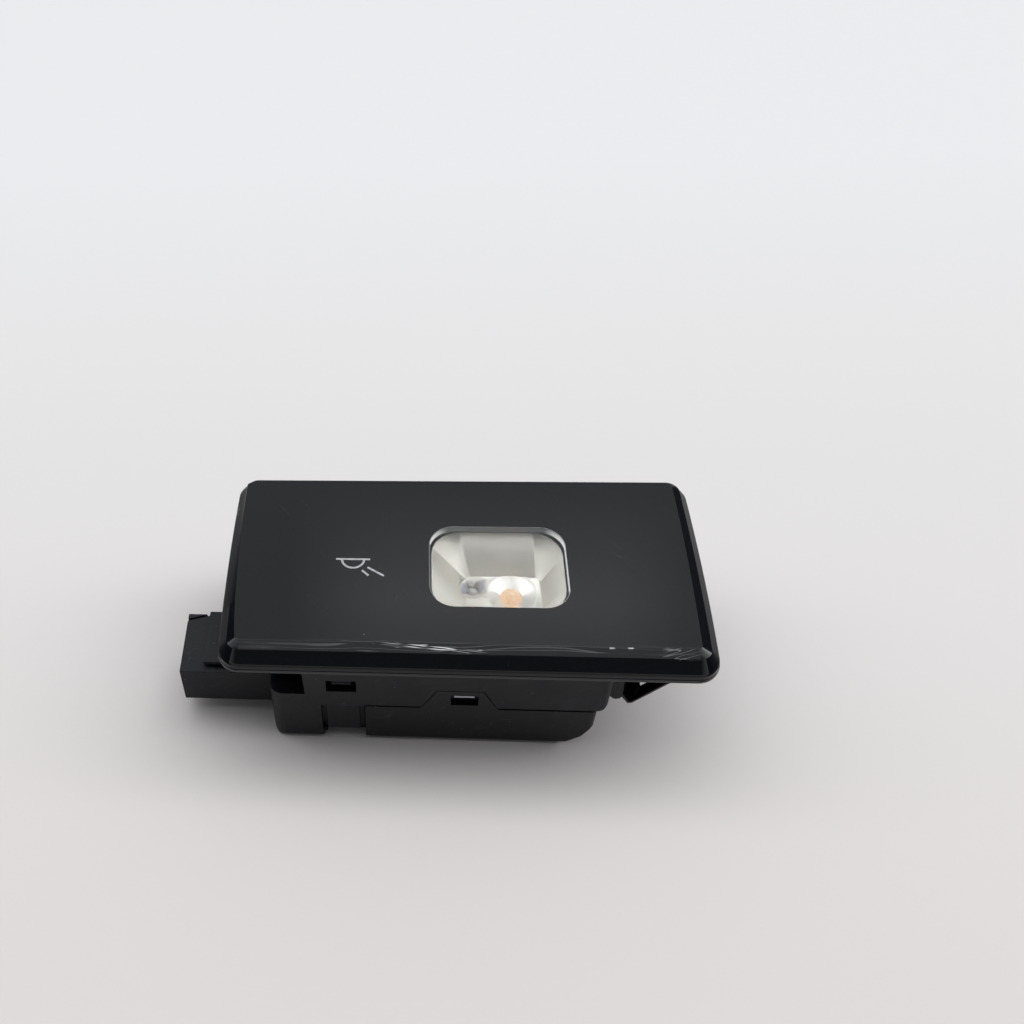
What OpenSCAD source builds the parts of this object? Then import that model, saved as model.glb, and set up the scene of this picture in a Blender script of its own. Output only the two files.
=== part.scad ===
// Car dome light: a gloss trim cover with a clear window over a metallised reflector,
// carried by a latched housing with a plug socket at one end and sprung clips at the other.
// X runs along the cover, Y across it and Z up out of the lit face. The origin lies on the
// back's resting plane, under the middle of the cover.

/* [Cover] */
// Length of the cover between its corners
cover_w = 96; // [92:1:110]
// Width of the cover
cover_d = 49.9; // [48.9:0.5:60]
// Height of the cover above its rim
cover_h = 5.5; // [5:0.25:8]
// Wall of the cover
cover_wall = 2.2; // [1.6:0.1:2.6]
// How far the flat top stands in from the rim
edge_inset = 4.05; // [3.6:0.05:5]
// Width of the bevel round the flat top
bevel_w = 1.9; // [1.2:0.1:2.4]
// Drop of the bevel
bevel_drop = 0.77; // [0.4:0.05:1.2]
// Height of the thin lip along the rim
lip_h = 0.6; // [0.4:0.1:1]
// How far the lip stands out
lip_out = 0.45; // [0.2:0.05:0.6]
// Fall of the lip's upper face towards its outer edge
lip_fall = 0.23; // [0.1:0.01:0.3]
// Height of the upright band above the lip
upright_h = 1.4; // [0.8:0.1:2]
// Radius between the upright band and the sloping side
turn_r = 1.5; // [0.5:0.1:2]
// Reach of the flat top past its straight left edge, at the back corner
left_reach = 1.7; // [0:0.05:2]
// The same at the right edge
right_reach = 0.35; // [0:0.05:1]
// Reach of the flat top towards the back edge
back_reach = 0.3; // [0:0.05:0.6]
// Corner radius at the rim, seen from above
corner_r = 4.5; // [4.2:0.1:6]
// Outward bow of the two short sides
side_bow = 0.5; // [0:0.1:1]

/* [Window] */
// Length of the window
window_w = 27.7; // [22:0.5:30]
// Width of the window
window_d = 21.2; // [18:0.2:23]
// Corner radius of the window
window_r = 5.2; // [4:0.2:6]
// Window's middle from the cover's middle, along the cover
window_x = 7.35; // [6:0.25:8.5]
// Window's middle from the cover's middle, across it
window_y = -1.4; // [-2:0.2:0]
// Thickness of the window's clear plastic
lens_depth = 3.2; // [2.6:0.1:3.4]
// Width of the rim that the cover has round it, under its skin
window_rim_w = 2.7; // [2.5:0.1:3]
// Step by which the clear plastic reaches under the black
lens_step = 1.5; // [1:0.1:2]
// Thickness of that step
lens_step_t = 1; // [0.6:0.1:1.2]

/* [Lamp symbol] */
// Place of the symbol's bar along the cover
symbol_x = -21.9; // [-24:0.5:-20]
// Place of the symbol's bar across the cover
symbol_y = -0.2; // [-3:0.2:3]
// Length of the bar
bar_l = 7; // [5:0.5:8]
// Diameter of the half-round shade under the bar
shade_d = 5; // [4:0.25:6]
// Width of the strokes
stroke_w = 0.45; // [0.35:0.05:0.7]
// Depth of the strokes in the cover's skin
stroke_depth = 0.6; // [0.4:0.1:0.8]
// Thickness of the diffuser plate let into the skin from below
diffuser_t = 0.8; // [0.5:0.1:1]

/* [Housing] */
// Height of the cover's rim above the back
body_h = 25.5; // [24:0.5:30]
// Left end of the housing
housing_left = -38.5; // [-40:0.25:-37]
// Right end of the housing
housing_right = 28.9; // [28:0.2:30]
// How far the housing's faces stand in from the rim
housing_inset = 1.5; // [1.2:0.1:1.8]
// Wall of the housing and of the back shell
wall = 1.8; // [1.4:0.1:2]
// Plan corner radius of the housing at its left and at its right end
housing_r = [2.6, 1.4]; // [1.2:0.2:3.2]
// Height of the seam between housing and back shell
seam_z = 12.7; // [12:0.25:13.5]
// Where the back shell starts along the housing
shell_left = -19.3; // [-20.5:0.25:-18.5]
// How far the back shell's right end stands in from the housing's
shell_step = 1.8; // [1:0.2:2.2]
// Width and height of the chamfer at the back shell's right end
shell_chamfer = [6.5, 7]; // [3:0.5:8]
// Radius of the back's end edges
edge_r = 2.4; // [1.5:0.1:3]
// Radius of the back's long edges
belly_r = 1.5; // [1:0.1:1.8]
// Gap left round the fitted plastics
fit_gap = 0.15; // [0.1:0.05:0.25]

/* [Foot and recess] */
// Right end of the foot
foot_right = -27.1; // [-28.5:0.2:-26.5]
// Width of the upright grooves at both sides of the recessed panel
groove_w = 1; // [0.6:0.1:1.4]
// Height of the recessed panel's lower edge
recess_z = 3; // [2.6:0.2:4]
// Depth of the recessed panel
recess_depth = 2.6; // [1.5:0.2:3]
// Size of the dark corner opening along the housing
corner_open_w = 6.9; // [5.5:0.1:7.5]
// How far the opening's inner edge leans along the housing
corner_open_lean = 0.4; // [0:0.1:0.8]
// Height of the corner opening below the rim
corner_open_h = 9.3; // [8:0.1:10]
// Depth of the corner opening
corner_open_d = 4.5; // [3.5:0.5:5]

/* [Latches] */
// Middle of the cover's front latch along the housing
latch_x = -23.8; // [-25:0.2:-23]
// Size of a cover latch window, along and up
latch_window = [6, 3.6]; // [3:0.2:7]
// Top of the latch windows below the rim
latch_drop = 4.5; // [4:0.25:5]
// Middle of the back shell's latch tab
tab_x = -0.2; // [-2:0.2:1]
// Width of that tab at its foot and at its top
tab_w = [14.8, 9]; // [8:0.2:17]
// Height of that tab above the seam
tab_h = 5.7; // [5:0.1:7]
// Size of the tab's window, along and up
tab_window = [5.4, 3.3]; // [3:0.1:6.4]
// Middle of that window from the tab's middle
tab_window_shift = 0.95; // [0:0.05:1]
// Thickness of the tab
tab_t = 1.1; // [0.8:0.1:1.2]
// Thickness of the latch legs
leg_t = 1.2; // [0.9:0.1:1.5]

/* [Reflector] */
// Height of the reflector's floor below the rim
floor_drop = 5; // [4:0.25:5.5]
// Length and width of the reflector's floor
floor_size = [15.6, 9.4]; // [8:0.2:17]
// Middle of the floor from the window's middle
floor_shift = [1.7, -0.1]; // [-1:0.1:2]
// Wall of the reflector
mirror_wall = 1.1; // [0.8:0.1:1.4]
// Inset of the reflector's mouth from the window's edge, along and across
mouth_inset = [0.55, 0.15]; // [0.1:0.05:0.8]
// Radius of the well round the main lamp, at the floor
main_well_r = 5.1; // [4.6:0.1:5.1]
// Radius of the well round the small lamp, at the floor
side_well_r = 2.9; // [2.4:0.1:2.9]
// Width of the reflector's flange
flange_w = 3; // [2.5:0.25:3.5]

/* [Circuit board] */
// Thickness of the board
board_t = 1.6; // [1:0.1:1.6]
// Distance of the board's upper face below the rim
board_drop = 6.9; // [6.9:0.1:7.4]
// Gap between the board's edge and the housing's wall
board_gap = 1.9; // [1.6:0.1:2.4]
// Hole radius of the board's screws
screw_hole_r = 1.2; // [1.1:0.05:1.3]
// Shank radius of the board's screws
screw_r = 0.9; // [0.8:0.05:1]
// Length of the screws below the head
screw_l = 8; // [6:0.5:9]

/* [Connector] */
// Left end of the plug socket
socket_left = -58.2; // [-60:0.2:-56]
// Depth of the socket across the housing
socket_d = 15.1; // [13:0.1:16]
// Height of the socket
socket_h = 10; // [9:0.25:10.5]
// Underside of the socket above the back
socket_z = 3.5; // [3.2:0.1:4]
// Front face of the socket from the cover's middle
socket_front = -16.9; // [-17.5:0.2:-16]
// Wall of the socket
socket_wall = 1.5; // [1.2:0.1:1.8]
// Depth of the socket's cavity
socket_cavity = 13; // [11:0.5:14]
// Number of contact pins
pin_count = 4; // [3:1:5]
// Pitch of the pins
pin_pitch = 2.54; // [2:0.02:2.6]
// Width of the square pins
pin_w = 0.64; // [0.5:0.02:0.8]
// How far the pins' tips stand back from the socket's mouth
pin_recess = 6; // [5:0.25:7]

/* [Retaining clips] */
// Width of a clip's leaf
clip_w = 8; // [6:0.5:9]
// Middle of each clip from the housing's long face
clip_edge = 8.55; // [8:0.05:10.5]
// Thickness of the spring steel
leaf_t = 0.5; // [0.4:0.05:0.6]
// Radius of the bar that the clip's root curls round
bar_r = 0.8; // [0.7:0.05:0.9]
// Gap between the bar and the curl
bar_gap = 0.05; // [0.03:0.01:0.08]
// Distance of the bar from the housing's end
bar_out = 1.9; // [1.8:0.1:2.2]
// Distance of the bar below the rim
bar_drop = 11.7; // [11.4:0.1:12.4]

/* [Hidden] */
$fn = 48;
eps = 0.01;
thin = 0.01;
corner_steps = 8;
side_steps = 8;
turn_steps = 3;

rim_z = body_h;
top_z = rim_z + cover_h;
skin_z = top_z - cover_wall;
housing_front = -cover_d / 2 + housing_inset;
housing_back = -housing_front;
inner_left = housing_left + wall;
inner_right = housing_right - wall;
inner_back = housing_back - wall;
shell_right = housing_right - shell_step;
housing_d = housing_back - housing_front;

// The cover's section: how far in and how high each level lies. The upright band turns into
// the sloping side, which ends at the bevel's lower edge
slope_foot = [lip_out, lip_h + upright_h];
slope_end = [edge_inset - bevel_w, cover_h - bevel_drop];
turn = 90 - atan2(slope_end.y - slope_foot.y, slope_end.x - slope_foot.x);
turn_mid = [lip_out + turn_r, slope_foot.y - turn_r * tan(turn / 2)];
section = concat([[lip_out, lip_h]],
    [for (i = [0:turn_steps]) turn_mid + turn_r * [-cos(turn * i / turn_steps), sin(turn * i / turn_steps)]],
    [slope_end]);

// Stiffening ribs under the cover, the collar that centres it and the latch tab's window
rib_t = 1;
rib_depth = 2.2;
rib_l = 2.2;
rib_x = [cover_w / 2 * -0.917, cover_w / 2 * -0.854, cover_w / 2 - edge_inset - 0.55];
rib_y = 12;
collar_h = 1.6;
collar_inset = cover_wall - housing_inset + fit_gap + 0.05;
tab_window_x = tab_x + tab_window_shift;
tab_window_z = seam_z + tab_h - 1.5 - tab_window.y;

// Board, its screws and what stands on it. Its left edge stands clear of the plug socket
board_clear = 0.3;
socket_right = inner_left + 5;
pin_tail_x = socket_right + 2.5;
board_top = rim_z - board_drop;
board_under = board_top - board_t;
board_left = socket_right + board_clear;
board_right = inner_right - board_gap;
board_back = inner_back - board_gap;
boss_r = 2.9;
boss_gap = 0.2;
boss_t = 1.9;
boss_rib = [2, 4.3];
boss_y = board_back - boss_r + boss_gap;
screw_x = [-13, board_right - boss_r - 1];
screw_spots = [for (x = screw_x, y = [-boss_y, boss_y]) [x, y]];
boss_foot = board_top - screw_l - boss_t;
driver_xy = [-5.6, board_back - 5.25];
driver_size = [7, 7, 1.3];
lead_w = 0.4;
lead_pitch = 0.8;
transistor_xy = [10.5, board_back - 4.55];
transistor_size = [6.4, 5.2, 2.1];
capacitor_xy = [board_left + 4.6, board_back - 7.75];
capacitor_size = [2, 1.25, 1.1];
resistor_xy = [-6.5, 2.05 - board_back];
resistor_size = [1.6, 0.8, 0.5];
chip_step = 3;
coil_xy = [pin_tail_x + 4.4, -2];
coil_r = 3.2;
core_r = 2.2;
coil_h = 3.5;
screw_head = [2.1, 1.3];

// Reflector
floor_z = rim_z - floor_drop;
floor_x = window_x + floor_shift.x;
floor_y = window_y + floor_shift.y;
lens_under = top_z - lens_depth;
flange_z = lens_under - 1;
led_base_t = 0.7;
well_gap = 0.3;
well_z = board_top + led_base_t + well_gap;
well_cut = 2;
main_led_xy = [floor_x + floor_size.x / 2 - main_well_r - 1.15, floor_y];
side_led_xy = [floor_x - floor_size.x / 2 + side_well_r - 1.35, floor_y + 1.4];

// Width of each lamp's base and radius of its dome
main_led = [4.4, 1.95];
side_led = [2, 0.8];
symbol_led = [1.6, 0.6];

// Symbol, its electrode and its light shaft
diffuser_size = [14, 8.4];
diffuser_mid = [symbol_x + 1.6, symbol_y - 2.2];
shaft_size = [11, 6.4];
shaft_wall = 0.9;
shaft_foot = 1.5;
short_ray_from = [1.9, -2.9];
short_ray_l = 1.9;
long_ray_from = [3, -2.1];
long_ray_l = 4;
electrode_size = [21, 17];
electrode_t = 0.3;
spring_xy = [diffuser_mid.x - 8.6, diffuser_mid.y + 6.2];
spring_r = 1.7;
spring_wire = 0.25;
spring_turns = 5;

// Cover latches: place along the housing, and the turn about Z that faces their wall
cover_latches = [[latch_x, 0], [latch_x, 180], [17, 180]];

// Plug socket
socket_mid_y = socket_front + socket_d / 2;
socket_mid_z = socket_z + socket_h / 2;

// Retaining clips
clip_y = housing_back - clip_edge;
bar_x = housing_right + bar_out;
bar_z = rim_z - bar_drop;
curl_r = bar_r + bar_gap;
ear_t = 1.2;
ear_gap = 0.3;
ear_reach = 2.6;
ear_rim = 0.3;

// The leaf's path from the bar, seen from the front
leaf_path = [[1.2, -1.5], [3, -4.5], [3.7, -4.4], [10.6, 3.7], [10.4, 4.5], [7.9, 9.8]];
lance = [3, 3];

// Shared shapes
module block(low, high) {
    translate(low)
        cube(high - low);
}

module rounded_rect(w, d, r) {
    square([w - 2 * r, d], center = true);
    square([w, d - 2 * r], center = true);
    for (x = [-1, 1], y = [-1, 1])
        translate([x * (w / 2 - r), y * (d / 2 - r)])
            circle(r);
}

module rounded_plate(w, d, r, z, t) {
    translate([0, 0, z])
        linear_extrude(t)
            rounded_rect(w, d, r);
}

// The cover's outline at a distance in from the rim, its short sides bowed
function corner(x, y, r, start) = [for (i = [0:corner_steps])
    let (a = start + 90 * i / corner_steps) [x + r * cos(a), y + r * sin(a)]];
function side(x, from, to) = [for (i = [1:side_steps - 1]) [x, from + (to - from) * i / side_steps]];
function bowed(p) = [p.x + sign(p.x) * side_bow * (1 - pow(2 * p.y / cover_d, 2)), p.y];
function outline(inset) = let (
    hw = cover_w / 2 - inset,
    hd = cover_d / 2 - inset,
    r = max(corner_r - inset, 0.35))
    [for (p = concat(
        corner(hw - r, hd - r, r, 0),
        corner(r - hw, hd - r, r, 90),
        side(-hw, hd - r, r - hd),
        corner(r - hw, r - hd, r, 180),
        corner(hw - r, r - hd, r, 270),
        side(hw, r - hd, hd - r))) bowed(p)];

// The flat top's outline reaches further out at its left, right and back edges
function depth_share(y) = min(1, max(0, 0.5 + y / (cover_d - 2 * edge_inset)));
function top_point(p) = [
    p.x < 0 ? p.x - left_reach * sqrt(depth_share(p.y)) : p.x + right_reach * depth_share(p.y),
    p.y + (p.y > 0 ? back_reach : 0)];
function top_outline() = [for (p = outline(edge_inset)) top_point(p)];

module level(inset, z) {
    translate([0, 0, z])
        linear_extrude(thin)
            polygon(outline(inset));
}

module window_plug(grow, z, t) {
    translate([window_x, window_y, 0])
        rounded_plate(window_w + 2 * grow, window_d + 2 * grow, window_r + grow, z, t);
}

// Cover
module cover_body() {
    hull() {
        level(0, rim_z);
        level(0, rim_z + lip_h - lip_fall);
        level(lip_out, rim_z + lip_h);
    }
    hull() {
        for (l = section)
            level(l.x, rim_z + l.y);
        translate([0, 0, top_z - thin])
            linear_extrude(thin)
                polygon(top_outline());
    }
}

module cover_hollow() {
    hull() {
        level(cover_wall, rim_z - 1);
        level(cover_wall, rim_z + lip_h + upright_h);
        level(edge_inset + 0.3, skin_z - thin);
    }
}

// A leg beside a housing wall, with a tooth that shows in that wall's window
module latch_leg() {
    tooth = [latch_window.x - 2, wall - 0.6, 2.4];
    tooth_top = rim_z - latch_drop - 0.3;
    face = housing_front + wall + fit_gap;
    block([-tooth.x / 2, face, rim_z - latch_drop - latch_window.y],
        [tooth.x / 2, face + leg_t, skin_z + eps]);
    translate([-tooth.x / 2, 0, 0])
        rotate([90, 0, 90])
            linear_extrude(tooth.x)
                polygon([[face + eps, tooth_top], [face - 0.2, tooth_top], [face - tooth.y, tooth_top - 1.5],
                    [face - tooth.y, tooth_top - 1.9], [face + eps, tooth_top - tooth.z]]);
}

module cover_ribs() {
    for (x = rib_x, y = [-rib_y, rib_y])
        block([x, y - rib_t / 2, skin_z - rib_depth], [x + rib_l, y + rib_t / 2, skin_z + eps]);
}

module front_cover() {
    color("#15161a")
        difference() {
            union() {
                difference() {
                    cover_body();
                    cover_hollow();
                }
                for (l = cover_latches)
                    translate([l.x, 0, 0])
                        rotate(l.y)
                            latch_leg();
                cover_ribs();
                window_plug(window_rim_w, lens_under, skin_z - lens_under + eps);
            }
            window_plug(0, lens_under - 1, lens_depth + 2);
            window_plug(lens_step, lens_under - 1, 1 + lens_step_t);
            translate([0, 0, top_z - stroke_depth])
                linear_extrude(stroke_depth + 1)
                    symbol_strokes();
            translate([diffuser_mid.x, diffuser_mid.y, 0])
                rounded_plate(diffuser_size.x, diffuser_size.y, 1, skin_z - 1, 1 + diffuser_t);
        }
}

module window_lens() {
    color("#dfe6e8", 0.35)
        union() {
            window_plug(0, lens_under, lens_depth);
            window_plug(lens_step, lens_under, lens_step_t);
        }
}

// The generic sign of a ceiling lamp: a bar, a half-round shade and two rays
module ray(from, length, turn) {
    translate(from)
        rotate(turn)
            translate([0, -stroke_w / 2])
                square([length, stroke_w]);
}

module symbol_strokes() {
    translate([symbol_x, symbol_y]) {
        translate([-bar_l / 2, -stroke_w / 2])
            square([bar_l, stroke_w]);
        difference() {
            circle(shade_d / 2);
            circle(shade_d / 2 - stroke_w);
            translate([-shade_d, 0])
                square([2 * shade_d, shade_d]);
        }
        ray(short_ray_from, short_ray_l, -45);
        ray(long_ray_from, long_ray_l, -33);
    }
}

module symbol_inlay() {
    color("#d9dde0")
        translate([0, 0, top_z - stroke_depth])
            linear_extrude(stroke_depth)
                symbol_strokes();
}

module symbol_diffuser() {
    color("#eceeee")
        translate([diffuser_mid.x, diffuser_mid.y, 0])
            rounded_plate(diffuser_size.x, diffuser_size.y, 1, skin_z, diffuser_t);
}

// A foil frame behind the cover's skin, open where the symbol's light comes through
module touch_electrode() {
    color("#b87746")
        difference() {
            translate([diffuser_mid.x - 0.6, diffuser_mid.y, 0])
                rounded_plate(electrode_size.x, electrode_size.y, 1.5, skin_z - electrode_t, electrode_t);
            translate([diffuser_mid.x, diffuser_mid.y, 0])
                rounded_plate(shaft_size.x - 2 * shaft_wall, shaft_size.y - 2 * shaft_wall, 0.8,
                    skin_z - 1, 2);
        }
}

// The sprung wire that joins the board to the electrode
function helix(turns, r, rise, steps) = [for (i = [0:turns * steps])
    let (a = 360 * i / steps) [r * cos(a), r * sin(a), rise * i / (turns * steps)]];
function ring(p, a, r, sides) = [for (k = [0:sides - 1])
    let (b = 360 * k / sides) [p.x + r * cos(b) * cos(a), p.y + r * cos(b) * sin(a), p.z + r * sin(b)]];
module wire_coil(turns, r, rise, wire_r) {
    steps = 12;
    sides = 6;
    path = helix(turns, r, rise, steps);
    rings = len(path);
    points = [for (i = [0:rings - 1]) each ring(path[i], 360 * i / steps, wire_r, sides)];
    walls = [for (i = [0:rings - 2], k = [0:sides - 1])
        let (n = (k + 1) % sides)
            each [[i * sides + k, i * sides + n, (i + 1) * sides + k],
                [(i + 1) * sides + k, i * sides + n, (i + 1) * sides + n]]];
    first = [for (k = [sides - 1:-1:0]) k];
    last = [for (k = [0:sides - 1]) (rings - 1) * sides + k];
    polyhedron(points, concat(walls, [first, last]));
}

module touch_spring() {
    rise = skin_z - electrode_t - board_top;
    plate_t = 0.4;
    color("#c9a24b")
        translate([spring_xy.x, spring_xy.y, board_top]) {
            cylinder(r = spring_r + spring_wire, h = plate_t);
            translate([0, 0, plate_t + spring_wire * 0.8])
                wire_coil(spring_turns, spring_r, rise - 2 * plate_t - 1.6 * spring_wire, spring_wire);
            translate([0, 0, rise - plate_t])
                cylinder(r = spring_r + spring_wire, h = plate_t);
        }
}

// The shaft that keeps the symbol's light to itself
module light_shaft() {
    shaft_z = skin_z - electrode_t - board_top;
    color("#e8e8e4")
        translate([diffuser_mid.x, diffuser_mid.y, 0])
            difference() {
                union() {
                    rounded_plate(shaft_size.x, shaft_size.y, 1.2, board_top, shaft_z);
                    rounded_plate(shaft_size.x + 2 * shaft_foot, shaft_size.y + 2 * shaft_foot, 1.6,
                        board_top, 1);
                }
                rounded_plate(shaft_size.x - 2 * shaft_wall, shaft_size.y - 2 * shaft_wall, 0.8,
                    board_top - 1, shaft_z + 2);
            }
}

// Reflector: a flared bowl with a flange under the lens and two cupped wells, which run out
// into its sloping walls
module bowl(grow, low, high) {
    hull() {
        translate([floor_x, floor_y, 0])
            rounded_plate(floor_size.x + 2 * grow, floor_size.y + 2 * grow, 1.2 + grow, low, thin);
        translate([window_x, window_y, 0])
            rounded_plate(window_w + 2 * (grow - mouth_inset.x), window_d + 2 * (grow - mouth_inset.y),
                window_r + 1 + grow, high, thin);
    }
}

module at_lamp(xy) {
    translate([xy.x, xy.y, 0])
        children();
}

module well_cup(r, foot_r) {
    cup_wall = mirror_wall * 0.7;
    translate([0, 0, well_z])
        cylinder(r1 = foot_r + 2 * cup_wall, r2 = r + cup_wall, h = floor_z - well_z);
}

module well_space(r, foot_r) {
    translate([0, 0, well_z - 1])
        cylinder(r = foot_r, h = 1);
    translate([0, 0, well_z - eps])
        cylinder(r1 = foot_r, r2 = r, h = floor_z - well_z + eps);
    translate([0, 0, floor_z - eps])
        cylinder(r = r, h = well_cut);
}

module reflector() {
    color("#c8c4bc")
        difference() {
            union() {
                bowl(mirror_wall, floor_z - mirror_wall, lens_under - 2 * thin);
                window_plug(flange_w, flange_z, lens_under - flange_z);
                at_lamp(main_led_xy)
                    well_cup(main_well_r, main_led[1] + well_gap);
                at_lamp(side_led_xy)
                    well_cup(side_well_r, side_led[1] + well_gap);
            }
            bowl(0, floor_z, lens_under + thin);
            at_lamp(main_led_xy)
                well_space(main_well_r, main_led[1] + well_gap);
            at_lamp(side_led_xy)
                well_space(side_well_r, side_led[1] + well_gap);
        }
}

// Circuit board
module circuit_board() {
    corner_cut = [housing_left + corner_open_w + wall + 0.6, -board_back];
    color("#1f5a3a")
        difference() {
            translate([(board_left + board_right) / 2, 0, 0])
                rounded_plate(board_right - board_left, 2 * board_back, 1.5, board_under, board_t);
            for (s = screw_spots)
                translate([s.x, s.y, board_under - 1])
                    cylinder(r = screw_hole_r, h = board_t + 2);
            for (i = [0:pin_count - 1])
                translate([pin_tail_x, pin_y(i), board_under - 1])
                    cylinder(r = pin_w * 0.75 + 0.02, h = board_t + 2);
            block([board_left - 1, corner_cut.y - 1, board_under - 1],
                [corner_cut.x, corner_cut.y + corner_open_d, board_top + 1]);
        }
}

module lamp(size) {
    translate([-size[0] / 2, -size[0] / 2, board_top])
        cube([size[0], size[0], led_base_t]);
    translate([0, 0, board_top + led_base_t])
        rotate_extrude()
            intersection() {
                circle(size[1]);
                square(size[1]);
            }
}

module main_led() {
    color("#e8c860")
        at_lamp(main_led_xy)
            lamp(main_led);
}

module side_led() {
    color("#e6e2d4")
        at_lamp(side_led_xy)
            lamp(side_led);
}

module symbol_led() {
    color("#e6e2d4")
        at_lamp(diffuser_mid)
            lamp(symbol_led);
}

module chip_block(size, lift = 0) {
    translate([-size.x / 2, -size.y / 2, lift])
        cube(size);
}

module driver_chip() {
    color("#1c1c1e")
        translate([driver_xy.x, driver_xy.y, board_top]) {
            chip_block(driver_size, 0.1);
            for (turn = [0:90:270], i = [-3:3])
                rotate(turn)
                    translate([i * lead_pitch - lead_w / 2, driver_size.x / 2 - 0.2, 0]) {
                        cube([lead_w, 1.2, 0.2]);
                        cube([lead_w, 0.5, 0.7]);
                    }
        }
}

module power_transistor() {
    tab = [transistor_size.x - 1.2, 1.3, 0.5];
    leg = [0.8, 1.8, 0.5];
    color("#242426")
        translate([transistor_xy.x, transistor_xy.y, board_top]) {
            chip_block(transistor_size, 0.1);
            translate([-tab.x / 2, transistor_size.y / 2 - 0.2, 0])
                cube(tab);
            for (side = [-1, 1])
                translate([side * (tab.x - 0.6) / 2 - leg.x / 2, -transistor_size.y / 2 - leg.y + 0.2, 0])
                    cube(leg);
        }
}

module ceramic_capacitors() {
    color("#b79a72")
        for (i = [0:4])
            translate([capacitor_xy.x + chip_step * i,
                capacitor_xy.y + (i % 2) * 2 * capacitor_size.y, board_top])
                chip_block(capacitor_size);
}

module chip_resistors() {
    color("#2a2a2c")
        for (i = [0:3], j = [0:1])
            translate([resistor_xy.x + chip_step * i, resistor_xy.y + j * 2.5 * resistor_size.y, board_top])
                chip_block(resistor_size);
}

module storage_coil() {
    flange_t = 0.7;
    color("#3a3a3c")
        translate([coil_xy.x, coil_xy.y, board_under - coil_h]) {
            cylinder(r = coil_r, h = flange_t);
            cylinder(r = core_r, h = coil_h);
            translate([0, 0, coil_h - flange_t])
                cylinder(r = coil_r, h = flange_t);
        }
}

module screw_recess(size) {
    for (turn = [0, 90])
        rotate(turn)
            translate([-size / 2, -size / 8, 0])
                cube([size, size / 4, 2]);
}

module board_screws() {
    color("#9a9ca0")
        for (s = screw_spots)
            translate([s.x, s.y, board_top])
                difference() {
                    union() {
                        cylinder(r = screw_head[0], h = screw_head[1]);
                        translate([0, 0, -screw_l])
                            cylinder(r = screw_r, h = screw_l + eps);
                    }
                    translate([0, 0, screw_head[1] - 0.8])
                        screw_recess(2.2);
                }
}

// Housing frame
module ended_rect(left, right, d, r) {
    translate([left + r[0], -d / 2])
        square([right - r[1] - left - r[0], d]);
    translate([left, r[0] - d / 2])
        square([r[0] + eps, d - 2 * r[0]]);
    translate([right - r[1] - eps, r[1] - d / 2])
        square([r[1] + eps, d - 2 * r[1]]);
    for (side = [-1, 1]) {
        translate([left + r[0], side * (d / 2 - r[0])])
            circle(r[0]);
        translate([right - r[1], side * (d / 2 - r[1])])
            circle(r[1]);
    }
}

module housing_outline(inset) {
    ended_rect(housing_left + inset, housing_right - inset, housing_d - 2 * inset,
        [housing_r[0] - inset / 2, housing_r[1] - inset / 2]);
}

// A front view that is round at its lower left and lower right corners
module round_footed(left, right, low, high) {
    translate([left, low + edge_r])
        square([right - left, high - low - edge_r]);
    translate([left + edge_r, low])
        square([right - left - 2 * edge_r, edge_r + eps]);
    for (x = [left + edge_r, right - edge_r])
        translate([x, low + edge_r])
            circle(edge_r);
}

// The front view of the housing: a long box with a foot below its left end
module frame_profile() {
    round_footed(housing_left, housing_right, seam_z, rim_z);
    round_footed(housing_left, shell_left + edge_r, 0, rim_z);
}

module across(depth) {
    translate([0, depth / 2, 0])
        rotate([90, 0, 0])
            linear_extrude(depth)
                children();
}

// The end view of the back, with its long edges rounded
module belly(left, right, high) {
    translate([left, 0, 0])
        rotate([90, 0, 90])
            linear_extrude(right - left) {
                translate([housing_front, belly_r])
                    square([housing_d, high - belly_r]);
                translate([housing_front + belly_r, 0])
                    square([housing_d - 2 * belly_r, belly_r + eps]);
                for (side = [-1, 1])
                    translate([side * (housing_d / 2 - belly_r), belly_r])
                        circle(belly_r);
            }
}

module frame_block() {
    difference() {
        intersection() {
            across(housing_d)
                frame_profile();
            linear_extrude(rim_z)
                housing_outline(0);
            belly(housing_left, housing_right, rim_z);
        }
        block([shell_left, housing_front - 1, -1], [shell_left + edge_r + 1, housing_back + 1, seam_z]);
    }
    translate([0, 0, rim_z - eps])
        linear_extrude(collar_h)
            housing_outline(collar_inset);
}

module frame_hollow() {
    intersection() {
        across(housing_d)
            union() {
                translate([inner_left, wall])
                    square([shell_left - wall - inner_left, rim_z]);
                translate([inner_left, seam_z - eps])
                    square([inner_right - inner_left, rim_z]);
            }
        translate([0, 0, -1])
            linear_extrude(rim_z + collar_h + 2)
                housing_outline(wall);
    }
}

// The trapezoid of the back shell's latch tab, seen from the front
module tab_shape(gap) {
    foot = tab_w[0] / 2 + gap;
    head = tab_w[1] / 2 + gap;
    polygon([[tab_x - foot, seam_z - eps], [tab_x + foot, seam_z - eps],
        [tab_x + head, seam_z + tab_h + gap], [tab_x - head, seam_z + tab_h + gap]]);
}

module front_cut(depth) {
    translate([0, housing_front + depth, 0])
        rotate([90, 0, 0])
            linear_extrude(depth + 1)
                children();
}

// The fixed tooth that stands in the tab's window: flat on top, with a ramp below
module tab_tooth() {
    tooth_w = tab_window.x - 1.3;
    tooth_top = tab_window_z + tab_window.y - 0.3;
    face = housing_front + tab_t + fit_gap;
    translate([tab_window_x - tab_window.x / 2 + 0.5, 0, 0])
        rotate([90, 0, 90])
            linear_extrude(tooth_w)
                polygon([[face + eps, tooth_top], [housing_front + 0.2, tooth_top],
                    [housing_front + 0.2, tooth_top - 0.5], [face + eps, tooth_top - 2]]);
}

module both_faces() {
    for (turn = [0, 180])
        translate([turn == 0 ? 0 : 2 * tab_x, 0, 0])
            rotate(turn)
                children();
}

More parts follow.
